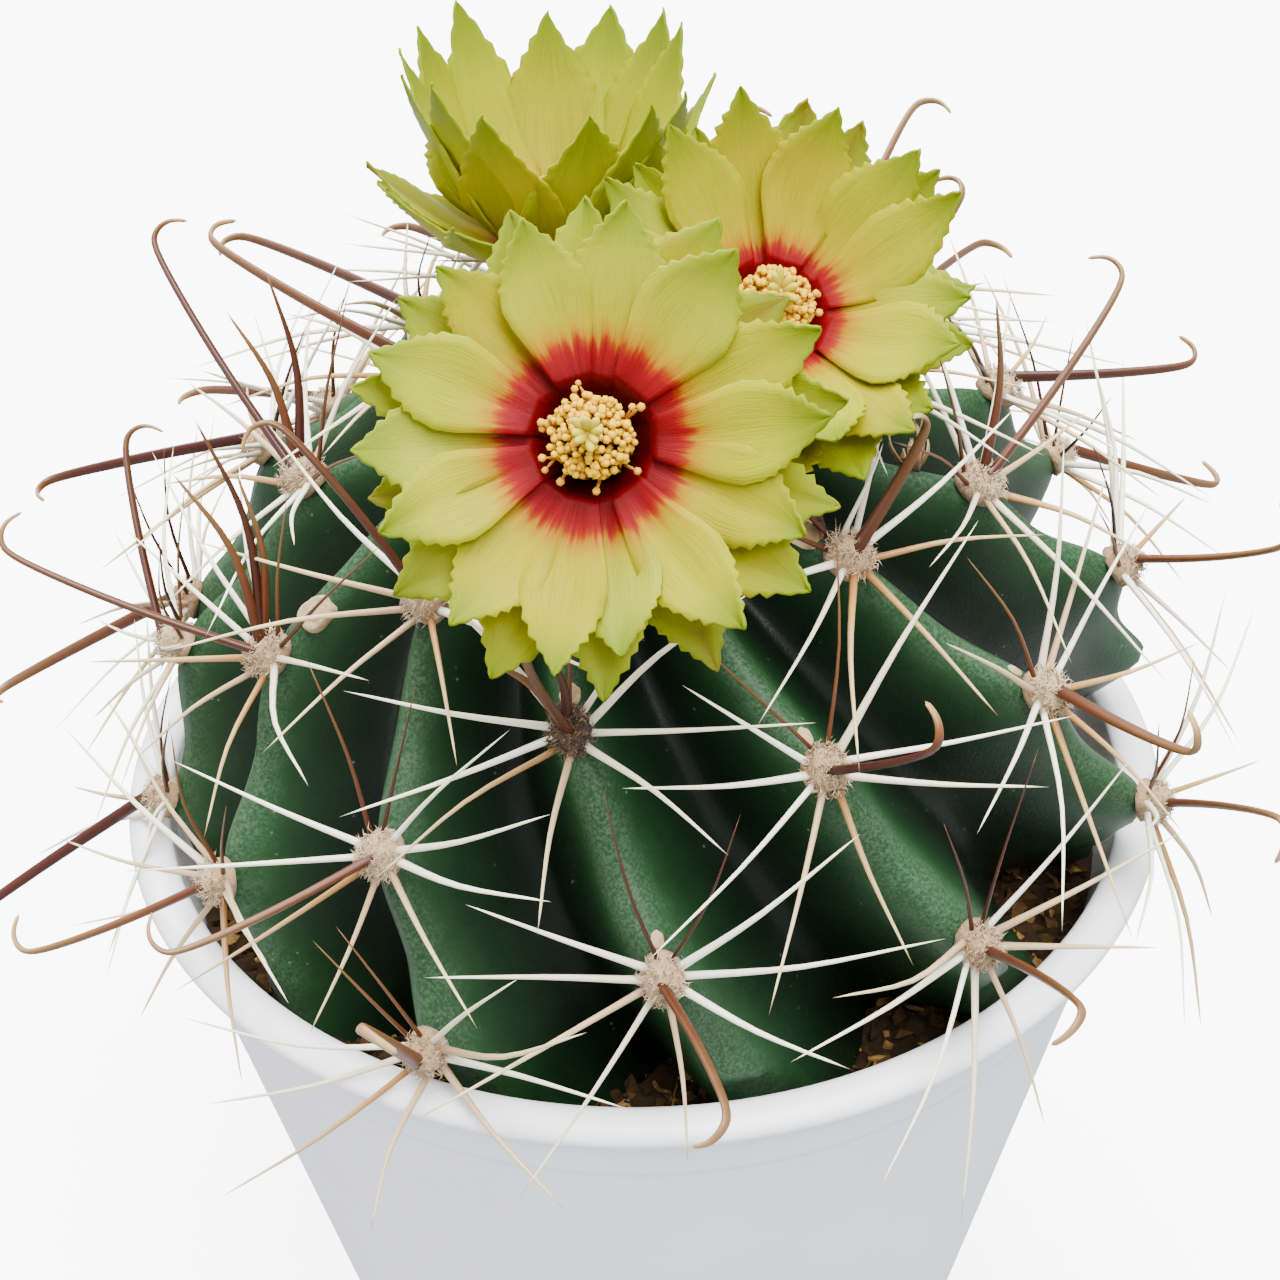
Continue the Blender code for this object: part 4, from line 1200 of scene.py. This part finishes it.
def petals_tree():
    """The tepals of all flowers as one search tree."""
    points, faces = [], []
    for piece in bpy.data.objects:
        if piece.name.endswith("_petals"):
            first = len(points)
            points += [piece.matrix_world @ v.co for v in piece.data.vertices]
            faces += [tuple(first + index for index in f.vertices) for f in piece.data.polygons]
    return BVHTree.FromPolygons(points, faces)


def kept_clear(line, petals):
    """A spine's line, ended before it would grow through a tepal. None when nothing is left of it."""
    for step, (start, end) in enumerate(zip(line, line[1:])):
        way = end - start
        if petals.ray_cast(start, way.normalized(), way.length + 0.6 * MM)[0]:
            return smooth_line(line[: step + 1], len(line)) if step > 2 else None
    return line


def make_areole(node, scene, shape, petals, wool_finish, spine_finish):
    """Spines along the lines of the CAD solid, and the wool cushion that they grow from."""
    spines = scene.cactus_spines
    cad = CadAreole(node)
    draw = random.Random(node)
    up = shape.crown - cad.seat
    up = (up - cad.out * up.dot(cad.out)).normalized()
    right = up.cross(cad.out)
    sink = cad.out * 0.5 * MM

    needles = Bundle()
    for foot, middle, tip in cad.radials:
        way = tip - foot
        clock = math.degrees(math.atan2(way.dot(right), way.dot(up)))
        root = cad.seat + (foot - cad.seat) * 0.4 - sink
        sag = cad.out * draw.uniform(-0.5, 0.4)
        sag += way.cross(cad.out).normalized() * draw.uniform(-0.6, 0.6)
        line = smooth_line([root, foot - sink * 0.6, middle + sag * MM, tip], 13)
        line = kept_clear(line, petals)
        if line is None:
            continue
        upper, lower = abs(clock) < 32, abs(clock) > 118
        width = spines.radial_width * (0.68 if upper else 1.0) * draw.uniform(0.85, 1.1)
        radii = [width / 2 * (1 - 0.86 * (step / 12) ** 1.25) for step in range(13)]
        if upper:
            tone = draw.uniform(0.85, 1.0)
        elif lower:
            tone = draw.choice((0.15, 0.4, 0.5, 0.6))
        else:
            tone = draw.choice((0.0, 0.0, 0.05, 0.15, 0.4))
        needles.tube(line, radii, 8, flat=0.85, until=0.6 if upper else 1.0, tone=tone)
    line = spline_line(cad.hook[:1] + cad.hook, 30)
    line = kept_clear(line, petals) or line[:8]
    widest = spines.hook_width / 2
    radii = [widest * (1 - 0.68 * (step / 29) ** 1.2) for step in range(len(line))]
    wide = (cad.hook[-1] - cad.hook[2]).cross(cad.hook[2] - cad.hook[0])
    needles.tube(line, radii, 10, flat=0.6, wide=wide, tone=draw.uniform(0.85, 1.0))
    for way, length in EXTRA_SPINES.get(node, ()):
        way = Vector(way).normalized()
        start = cad.seat + way * 0.5 * MM
        side = way.orthogonal() * length * 0.06 * MM
        end = start + way * length * MM
        line = smooth_line([start, start + way * length * 0.5 * MM + side, end], 14)
        line = kept_clear(line, petals)
        if line is None:
            continue
        radii = [0.48 * MM * (1 - 0.85 * (step / 13) ** 1.3) for step in range(14)]
        needles.tube(line, radii, 8, flat=0.8, until=0.75, tone=draw.uniform(0.85, 1.0))
    needles.piece(f"{node}_spines", spine_finish, "spine_horn", [node])

    wool = Bundle()
    tone = -0.25 if node in OLD_WOOL else draw.uniform(0.2, 0.42)
    add_wool(wool, cad, spines, draw, up, right, tone)
    wool.piece(f"{node}_wool", wool_finish, "spine_horn")
    return cad


def make_areoles(scene):
    """Every areole, the corky spots beside some of them and the remains of an old flower."""
    shape = StemShape(scene.cactus_stem, scene.cactus_pot)
    wool_finish = felted_wool(scene.cactus_spines)
    spine_finish = horny_spine(scene.cactus_spines)
    stem = bpy.data.objects["ribbed_stem"].data
    faces = [tuple(f.vertices) for f in stem.polygons]
    skin = BVHTree.FromPolygons([v.co for v in stem.vertices], faces)
    corky = corky_scar()
    petals = petals_tree()
    for node in AREOLE_NODES:
        cad = make_areole(node, scene, shape, petals, wool_finish, spine_finish)
        for spot in CORK.get(node, ()):
            add_cork(node, cad, shape, skin, spot, corky)
    make_remnant(CadAreole("areole_10"), shape, skin, corky)


def add_cork(node, cad, shape, skin, cork_spot, material):
    """A corky gland or an old flower's scar on the crest, towards the growing point."""
    place, length, width, bark = cork_spot
    name = f"{node}_cork_{place}"
    place, length, width = place * MM, length * MM, width * MM
    up = (shape.crown - cad.seat).normalized()
    spot, out, _, _ = skin.find_nearest(cad.seat + up * place)
    up = (up - out * out.dot(up)).normalized()
    right = up.cross(out)
    rings, sides = 9, 30
    points, tones = [], []
    for ring in range(rings):
        share = 1 - ring / (rings - 1) * 0.98
        for side in range(sides):
            angle = math.tau * side / sides
            round_the_edge = Vector((math.cos(angle), math.sin(angle), place * 900))
            ragged = 1 + 0.22 * noise.noise(round_the_edge * 1.7)
            across = up * math.cos(angle) * length / 2 + right * math.sin(angle) * width / 2
            point = spot + across * share * ragged
            rim = math.exp(-(((share - 0.78) / 0.16) ** 2)) * bark
            height = -0.5 * MM if ring == 0 else (0.25 + 0.3 * (1 - share) + 0.5 * rim) * width * 0.45
            rough = noise.noise(point * 1500) * 0.18 * MM * (0.4 + bark)
            points.append(point + out * (height + rough))
            tones.append(0.75 - 0.55 * bark * (rim > 0.35) + 0.25 * noise.noise(point * 900))
    cork = Bundle()
    top = tuple(range((rings - 1) * sides, rings * sides))
    cork.add(points, loft_faces(rings, sides) + [top], tone=tones)
    cork.piece(name, material, "stem_skin")


def make_remnant(cad, shape, skin, material):
    """Papery curled remains of a withered flower."""
    draw = random.Random(8)
    up = (shape.crown - cad.seat).normalized()
    spot, out, _, _ = skin.find_nearest(cad.seat + up * 5.5 * MM)
    right = up.cross(out).normalized()
    papery = Bundle()
    for _ in range(11):
        way = (out + right * draw.uniform(-0.7, 0.7) + up * draw.uniform(-0.3, 0.8)).normalized()
        side = way.cross(Vector(draw.gauss(0, 1) for _ in range(3))).normalized()
        length, width = draw.uniform(1.8, 4.5) * MM, draw.uniform(0.3, 0.7) * MM
        points, tones = [], []
        for row in range(9):
            u = row / 8
            curl = way.cross(side) * math.sin(u * 2.6) * length * draw.uniform(0.2, 0.24)
            for v in (-1, 0, 1):
                spread = side * v * width * (1 - u) ** 0.6 + way.cross(side) * 0.1 * MM * abs(v)
                points.append(spot + way * length * u + curl + spread)
                tones.append(0.15 + 0.8 * u * draw.uniform(0.6, 1))
        papery.add(points, loft_faces(9, 3, closed=False), tone=tones)
    piece = papery.piece("withered_flower", material, "tube_scales")
    thick = piece.modifiers.new("leaf", "SOLIDIFY")
    thick.thickness = 0.12 * MM


# --- flowers --------------------------------------------------------------------------------

STYLE_TOP = 6.9 * MM  # height of the style over the throat


class CadFlower:
    """Axis, throat, spread and rise of one flower, read from its CAD nodes."""

    def __init__(self, name):
        points, _, _ = welded(f"{name}_flower_style")
        cloud = np.array(points)
        middle = cloud.mean(0)
        axis = Vector(np.linalg.svd(cloud - middle)[2][0])
        tube, _, _ = welded(f"{name}_flower_tube")
        if axis.dot(Vector(middle) - mean(tube)) < 0:
            axis = -axis
        # The style is a straight column, so its narrow foot ring and its tip give the exact axis.
        heights = [p.dot(axis) for p in points]
        top, foot = max(heights), min(heights)
        tip = mean([p for p, h in zip(points, heights) if h > top - 0.1 * MM])
        root = mean([p for p, h in zip(points, heights) if h < foot + 0.1 * MM])
        self.axis = (tip - root).normalized()
        self.throat = tip - self.axis * STYLE_TOP
        self.side = self.axis.orthogonal().normalized()
        self.other = self.axis.cross(self.side)
        tips, _, _ = welded(f"{name}_flower_outer_tepals")
        ways = [p - self.throat for p in tips]
        self.spread = max((way - self.axis * way.dot(self.axis)).length for way in ways)
        self.rise = max(way.dot(self.axis) for way in ways)

    def spot(self, angle, radius, height):
        """The point at an angle and a radius round the axis, and a height over the throat."""
        ring = self.side * math.cos(angle) + self.other * math.sin(angle)
        return self.throat + ring * radius + self.axis * height


# Half width of a tepal at shares of its length
TEPAL_OUTLINE = (
    (0.0, 0.42), (0.2, 0.66), (0.38, 0.9), (0.5, 1.0), (0.62, 0.93),
    (0.73, 0.75), (0.83, 0.5), (0.91, 0.27), (0.97, 0.11), (1.0, 0.0),
)
# Radius and height, in mm, of the rows by which a tepal goes down into the throat
THROAT_FUNNEL = ((2.3, -3.4), (2.7, -2.2), (3.2, -1.1), (3.7, -0.3))
THROAT_EDGE = 4.2 * MM
TUBE_SCALES = 34
BARE_NECK = 2.6 * MM  # upper end of the tube that bears no scales
# Factors for each flower: length and rise of the outer and the inner whorl, width of a tepal, throat
FLOWER_LOOKS = {
    "front": dict(outer=1.04, outer_rise=0.72, inner=0.97, inner_rise=0.98, width=1.04, throat=1.0),
    "right": dict(outer=1.1, outer_rise=0.75, inner=1.02, inner_rise=0.97, width=1.1, throat=0.82),
    "rear": dict(outer=1.18, outer_rise=0.55, inner=0.98, inner_rise=1.06, width=1.35, throat=0.8),
}
RISE_SPREAD = {"outer": (0.5, 1.2), "inner": (0.94, 1.06)}  # how much the tepals of a whorl differ


def outline(share):
    """Half width of a tepal at a share of its length."""
    for (x0, y0), (x1, y1) in zip(TEPAL_OUTLINE, TEPAL_OUTLINE[1:]):
        if share <= x1:
            return y0 + (y1 - y0) * (share - x0) / (x1 - x0)
    return 0.0


def toothed_edge(draw, rows):
    """How far one margin stands out in each row: saw teeth that point to the tip."""
    edge, grow, step = [], 0.0, draw.uniform(0.1, 0.2)
    for row in range(rows + 1):
        grow += step
        if grow > 1:
            grow, step = 0.0, draw.choice((0.28, 0.34, 0.45))
        start = min(1.0, max(0.0, (row / rows - 0.55) / 0.2))
        edge.append((grow - 0.35) * draw.uniform(0.7, 1.0) * start)
    return edge


def add_tepal(whorl, flower, settings, looks, draw, angle, length, lift, opened, stripe):
    """One tepal: a lance-shaped leaf with a folded midrib, waved margins, teeth and a pointed tip."""
    rows, columns = 46, 8
    half_width = settings.tepal_width / 2 * looks["width"] * draw.uniform(0.88, 1.12)
    roll = draw.uniform(0.02, 0.16)
    curl = draw.uniform(-1.3, 0.3) * MM
    wave, waves = draw.uniform(0, math.tau), draw.uniform(2.2, 3.6)
    bend = draw.uniform(-0.07, 0.07)
    tone = draw.random()
    teeth = {-1: toothed_edge(draw, rows), 1: toothed_edge(draw, rows)}
    points = []
    fields = {"reach": [], "along": [], "across": [], "stripe": []}
    lines = [(None, radius * MM, height * MM + lift * 0.4) for radius, height in THROAT_FUNNEL]
    for row in range(rows + 1):
        u = row / rows
        rise = lift + flower.rise * opened * (0.35 * u + 0.65 * u * u) + curl * u ** 3
        lines.append((row, THROAT_EDGE + (length - THROAT_EDGE) * u, rise))
    for row, radius, rise in lines:
        u = 0.0 if row is None else row / rows
        width = half_width * outline(u) * (1.0 if row is not None else radius / THROAT_EDGE)
        for column in range(columns + 1):
            v = 2 * column / columns - 1
            margin = 0.0
            if row is not None and row < rows:
                tooth = teeth[-1 if v < 0 else 1][row] * 0.6 * MM
                margin = tooth * abs(v) ** 3 * min(1, outline(u) * 2.2)
            offset = v * width + (margin if v > 0 else -margin)
            fold = 0.3 * MM * math.exp(-((v * 4.5) ** 2)) * (1 - u * 0.6) * min(1, 4 * u)
            cup = 0.12 * abs(v) ** 1.6 * width - fold
            ripple = 0.3 * MM * u * math.sin(waves * math.pi * u + wave + 2.0 * v) * abs(v)
            swing = math.atan2(offset, radius) + bend * u * u
            distance = math.hypot(radius, offset)
            points.append(flower.spot(angle + swing, distance, rise + cup + roll * offset + ripple))
            fields["reach"].append(distance / (TEPAL_SPAN * looks["throat"]))
            fields["along"].append(u)
            fields["across"].append(v)
            middle = math.exp(-((v * 2.6) ** 2)) * min(1, max(0, (u - 0.4) * 2.5))
            fields["stripe"].append(min(1, stripe * max(middle, max(0, (u - 0.84) * 6))))
    whorl.add(points, loft_faces(len(lines), columns + 1, closed=False), tone=tone, **fields)


def make_tepals(flower, name, which, settings, material, lift, shift, stripe):
    """One whorl of tepals: the outer ones lie flatter, each in its own way, and may have a stripe."""
    looks = FLOWER_LOOKS[name]
    draw = random.Random(f"{name}{which}_tepals")
    whorl = Bundle()
    for tepal in range(settings.tepals):
        angle = math.tau * (tepal + shift + draw.uniform(-0.2, 0.2)) / settings.tepals
        length = flower.spread * looks[which] * draw.uniform(0.93, 1.06)
        height = lift + (0.55 * (tepal % 2) + draw.uniform(0, 0.25)) * MM
        opened = looks[which + "_rise"] * draw.uniform(*RISE_SPREAD[which])
        marked = stripe * draw.choice((0, 0, 0.3, 1))
        add_tepal(whorl, flower, settings, looks, draw, angle, length, height, opened, marked)
    nodes = [f"{name}_flower_{which}_tepals"]
    piece = whorl.piece(f"{name}_{which}_tepals_petals", material, "tepal_skin", nodes)
    thick = piece.modifiers.new("leaf", "SOLIDIFY")
    thick.thickness = 0.2 * MM
    thick.offset = 0
    return piece


def make_stamens(flower, name, settings, material):
    """A dense tuft: the inner stamens stand upright round the style, a few outer ones splay."""
    draw = random.Random(f"{name} stamens")
    brush = Bundle()
    for number in range(settings.stamens):
        angle = number * GOLDEN_ANGLE
        lean = math.sqrt((number + 0.5) / settings.stamens)
        root = flower.spot(angle, (0.9 + 1.3 * lean) * MM, -4.2 * MM)
        splayed = draw.random() < 0.10
        reach = (0.35 + 2.45 * lean) * (1.4 if splayed else 1.0) * MM
        height = draw.uniform(4.4, 5.8) * MM - (2.2 if splayed else 1.3) * MM * lean
        head = flower.spot(angle + draw.uniform(-0.2, 0.2), reach, height)
        middle = flower.spot(angle, (0.6 + 2.1 * lean) * MM, 0.6 * MM)
        thread = smooth_line([root, middle, head], 6)
        brush.tube(thread, [0.12 * MM] * 6, 5, tone=0.5 if splayed else 0.0)
        way = (head - middle).normalized()
        size = draw.uniform(0.2, 0.31) * MM
        pollen = [head + way * size * reach for reach in (-1, -0.5, 0.5, 1.2)]
        brush.tube(pollen, [size * 0.5, size, size, 0], 6, tone=0.35 if splayed else 0.0)
    return brush.piece(f"{name}_stamen_tuft", material, "pollen", [f"{name}_flower_stamens"])


def make_style(flower, name, material):
    """The style with its star of stigma lobes."""
    draw = random.Random(f"{name} style")
    star = Bundle()
    column = [flower.spot(0, 0, height * MM) for height in (-4, -2, 1, 3.5, 5.6, 5.9)]
    star.tube(column, [0.45 * MM] * 5 + [0.3 * MM], 10)
    lobes = 8
    for lobe in range(lobes):
        angle = math.tau * (lobe + draw.uniform(-0.2, 0.2)) / lobes
        reach = draw.uniform(0.9, 1.6) * MM
        line = smooth_line(
            [
                flower.spot(angle, 0.1 * MM, 5.2 * MM),
                flower.spot(angle, reach * 0.6, 6.1 * MM),
                flower.spot(angle, reach, draw.uniform(6.4, 7.4) * MM),
            ],
            8,
        )
        star.tube(line, [radius * MM for radius in (0.3, 0.34, 0.36, 0.36, 0.34, 0.3, 0.22, 0.1)], 8)
    return star.piece(f"{name}_stigma_star", material, "stigma_skin", [f"{name}_flower_style"])


def make_tube(flower, name, material):
    """The flower tube, smoothed from the CAD solid, with a spiral of small scales."""
    source = frame["nodes"][f"{name}_flower_tube"]
    points, _, _ = welded(f"{name}_flower_tube")
    index_of = {tuple(round(c * 1e6) for c in p): index for index, p in enumerate(points)}
    faces = []
    for face in source.data.polygons:
        corners = [source.data.vertices[index].co for index in face.vertices]
        faces.append(tuple(index_of[tuple(round(c * 1e6) for c in corner)] for corner in corners))
    faces = [face for face in faces if len(set(face)) == len(face)]
    heights = [(p - flower.throat).dot(flower.axis) for p in points]
    low = min(heights)
    along = [min(1.0, max(0.0, (height - low) / -low)) for height in heights]
    tube = Bundle()
    # It sits a little lower than the solid, so that no rim shows between the tepals.
    tube.add([p - flower.axis * 0.6 * MM for p in points], faces, along=along)
    piece = tube.piece(f"{name}_receptacle", material, "tube_scales", [f"{name}_flower_tube"])
    bpy.context.view_layer.objects.active = piece
    smoothing = piece.modifiers.new("smooth", "SUBSURF")
    smoothing.levels = smoothing.render_levels = 2

    skin = BVHTree.FromPolygons(points, faces)
    scales = Bundle()
    draw = random.Random(f"{name} scales")
    for number in range(TUBE_SCALES):
        share = (number + 0.5) / TUBE_SCALES
        height = (low + BARE_NECK) * (1 - share) - BARE_NECK
        angle = number * GOLDEN_ANGLE
        centre = flower.throat + flower.axis * height
        ring = flower.side * math.cos(angle) + flower.other * math.sin(angle)
        spot, normal, _, _ = skin.ray_cast(centre + ring * 14 * MM, -ring, 20 * MM)
        if spot is None:
            continue
        up = (flower.axis - normal * flower.axis.dot(normal)).normalized()
        across = up.cross(normal)
        size = (1.5 + 1.6 * share) * MM * draw.uniform(0.85, 1.15)
        leaf, values = [], []
        for row in range(7):
            u = row / 6
            width = size * 0.5 * math.sin(math.pi * min(1, 0.25 + 0.75 * u)) ** 0.8
            for column in range(5):
                v = column / 2 - 1
                lift = 0.12 * MM + 0.35 * MM * u * u - 0.3 * MM * v * v * (1 - 0.4 * u)
                leaf.append(spot + up * size * (u - 0.2) * 1.3 + across * v * width + normal * lift)
                values.append(0.45 + 0.55 * u)
        scales.add(leaf, loft_faces(7, 5, closed=False), along=values)
    leaves = scales.piece(f"{name}_receptacle_scales", material, "tube_scales")
    thick = leaves.modifiers.new("leaf", "SOLIDIFY")
    thick.thickness = 0.2 * MM
    return piece


def make_flowers(scene):
    """The three open flowers."""
    settings = scene.cactus_flowers
    tepal_finish = satin_tepal(settings)
    stamen_finish = stamen_thread(settings)
    stigma_finish = downy_stigma()
    tube_finish = scaly_tube()
    for name in FLOWER_NAMES:
        flower = CadFlower(name)
        make_tepals(flower, name, "outer", settings, tepal_finish, 0.2 * MM, shift=0.5, stripe=0.5)
        make_tepals(flower, name, "inner", settings, tepal_finish, 1.6 * MM, shift=0.0, stripe=0.0)
        make_stamens(flower, name, settings, stamen_finish)
        make_style(flower, name, stigma_finish)
        make_tube(flower, name, tube_finish)


# --- stage ----------------------------------------------------------------------------------


SWEEP_FRONT, SWEEP_BACK, SWEEP_TURN = -1.6, 1.0, 0.6  # floor's two ends, radius of the turn
SWEEP_TOP = 2.4
SWEEP_HALF_WIDTH = 2.6
# Place in metres, width in metres, power in watts and tint
LIGHTS = (
    ("window_light", (-0.35, 0.65, 0.85), 0.8, 28.0, (1.0, 0.99, 0.97)),
    ("overhead_light", (0.1, -0.05, 1.0), 0.7, 31.0, (1.0, 1.0, 1.0)),
    ("front_fill", (0.3, -0.62, 0.95), 0.5, 15.0, (0.94, 0.97, 1.0)),
    ("left_fill", (-0.9, -0.3, 0.4), 0.6, 5.0, (1.0, 0.97, 0.95)),
)


def make_stage(scene):
    """Camera, pale floor and soft studio light."""
    stage = scene.cactus_stage
    target = Vector((0, 0, RIM_Z + stage.target_above_rim))
    e, roll = stage.elevation, stage.roll
    forward = Vector((0, math.cos(e), -math.sin(e)))
    level = Vector((1, 0, 0))
    rise = Vector((0, math.sin(e), math.cos(e)))
    right = level * math.cos(roll) + rise * math.sin(roll)
    up = rise * math.cos(roll) - level * math.sin(roll)
    camera = bpy.data.objects.new("camera", bpy.data.cameras.new("camera"))
    scene.collection.objects.link(camera)
    camera.data.sensor_width = 36
    camera.data.angle = stage.view_angle
    camera.data.clip_start = 0.01
    place = target - forward * stage.distance
    camera.matrix_world = Matrix((
        (right.x, up.x, -forward.x, place.x),
        (right.y, up.y, -forward.y, place.y),
        (right.z, up.z, -forward.z, place.z),
        (0, 0, 0, 1),
    ))
    scene.camera = camera

    # A sweep: floor that turns up into a far backdrop.
    profile = [(SWEEP_FRONT, 0.0), (SWEEP_BACK, 0.0)]
    for step in range(1, 13):
        angle = math.pi / 2 * step / 12
        turned = SWEEP_BACK + SWEEP_TURN * math.sin(angle)
        profile.append((turned, SWEEP_TURN - SWEEP_TURN * math.cos(angle)))
    profile.append((SWEEP_BACK + SWEEP_TURN, SWEEP_TOP))
    points = [(side * SWEEP_HALF_WIDTH, y, z) for y, z in profile for side in (-1, 1)]
    faces = loft_faces(len(profile), 2, closed=False)
    mesh = bpy.data.meshes.new("studio_sweep")
    mesh.from_pydata(points, [], faces)
    mesh.shade_smooth()
    # Matt white background paper, lit so evenly that it looks white.
    made, _, shader = new_material("matt_paper_sweep", Roughness=0.9, Specular_IOR_Level=0.1)
    shader.inputs["Base Color"].default_value = (*stage.floor, 1)
    shader.inputs["Emission Color"].default_value = (1, 1, 1, 1)
    shader.inputs["Emission Strength"].default_value = 4.5
    mesh.materials.append(made)
    sweep = bpy.data.objects.new("studio_sweep", mesh)
    scene.collection.objects.link(sweep)
    # The paper glows so that it renders white, and its glow must not light the plant from below.
    sweep.visible_diffuse = False
    sweep.visible_glossy = False

    for name, place, size, power, tint in LIGHTS:
        data = bpy.data.lights.new(name, "AREA")
        data.shape = "DISK"
        data.size = size
        data.energy = power
        data.color = tint
        lamp = bpy.data.objects.new(name, data)
        lamp.location = place
        lamp.rotation_mode = "QUATERNION"
        lamp.rotation_quaternion = (target - Vector(place)).to_track_quat("-Z", "Y")
        scene.collection.objects.link(lamp)
    world = bpy.data.worlds.new("pale_studio")
    world.use_nodes = True
    world.node_tree.nodes["Background"].inputs["Color"].default_value = (0.93, 0.96, 1.0, 1)
    world.node_tree.nodes["Background"].inputs["Strength"].default_value = 1.45
    scene.world = world


# --- operators and panel --------------------------------------------------------------------


class CACTUS_OT_stage(bpy.types.Operator):
    """Set the camera, the lights and the floor"""

    bl_idname = "cactus.stage"
    bl_label = "Stage"

    def execute(self, context):
        make_stage(context.scene)
        return {"FINISHED"}


class CACTUS_OT_pot(bpy.types.Operator):
    """Mould the pot"""

    bl_idname = "cactus.pot"
    bl_label = "Pot"

    def execute(self, context):
        make_pot(context.scene)
        return {"FINISHED"}


class CACTUS_OT_soil(bpy.types.Operator):
    """Fill the pot with potting mix"""

    bl_idname = "cactus.soil"
    bl_label = "Soil"

    def execute(self, context):
        make_soil(context.scene)
        return {"FINISHED"}


class CACTUS_OT_stem(bpy.types.Operator):
    """Grow the ribbed stem"""

    bl_idname = "cactus.stem"
    bl_label = "Stem"

    def execute(self, context):
        make_stem(context.scene)
        return {"FINISHED"}


class CACTUS_OT_areoles(bpy.types.Operator):
    """Set wool cushions and spines on the ribs"""

    bl_idname = "cactus.areoles"
    bl_label = "Areoles and spines"

    def execute(self, context):
        make_areoles(context.scene)
        return {"FINISHED"}


class CACTUS_OT_flowers(bpy.types.Operator):
    """Open the flowers on the crown"""

    bl_idname = "cactus.flowers"
    bl_label = "Flowers"

    def execute(self, context):
        make_flowers(context.scene)
        return {"FINISHED"}


OPERATORS = (
    CACTUS_OT_stage,
    CACTUS_OT_pot,
    CACTUS_OT_soil,
    CACTUS_OT_stem,
    CACTUS_OT_flowers,
    CACTUS_OT_areoles,
)


class CACTUS_PT_panel(bpy.types.Panel):
    """Lists the pieces and their settings"""

    bl_idname = "CACTUS_PT_panel"
    bl_label = "Potted Round Cactus"
    bl_space_type = "VIEW_3D"
    bl_region_type = "UI"
    bl_category = "Cactus"

    def draw(self, context):
        for operator in OPERATORS:
            self.layout.operator(operator.bl_idname)
        for name, group in SETTINGS:
            box = self.layout.box()
            box.label(text=group.__doc__)
            for setting in group.__annotations__:
                box.prop(getattr(context.scene, name), setting)


def register():
    for name, group in SETTINGS:
        bpy.utils.register_class(group)
        setattr(bpy.types.Scene, name, PointerProperty(type=group))
    for made in (*OPERATORS, CACTUS_PT_panel):
        bpy.utils.register_class(made)


def unregister():
    for made in reversed((*OPERATORS, CACTUS_PT_panel)):
        bpy.utils.unregister_class(made)
    for name, group in reversed(SETTINGS):
        delattr(bpy.types.Scene, name)
        bpy.utils.unregister_class(group)


def main():
    register()
    bpy.ops.cactus.stage()
    bpy.ops.cactus.pot()
    bpy.ops.cactus.soil()
    bpy.ops.cactus.stem()
    bpy.ops.cactus.flowers()
    bpy.ops.cactus.areoles()


if __name__ == "__main__":
    main()
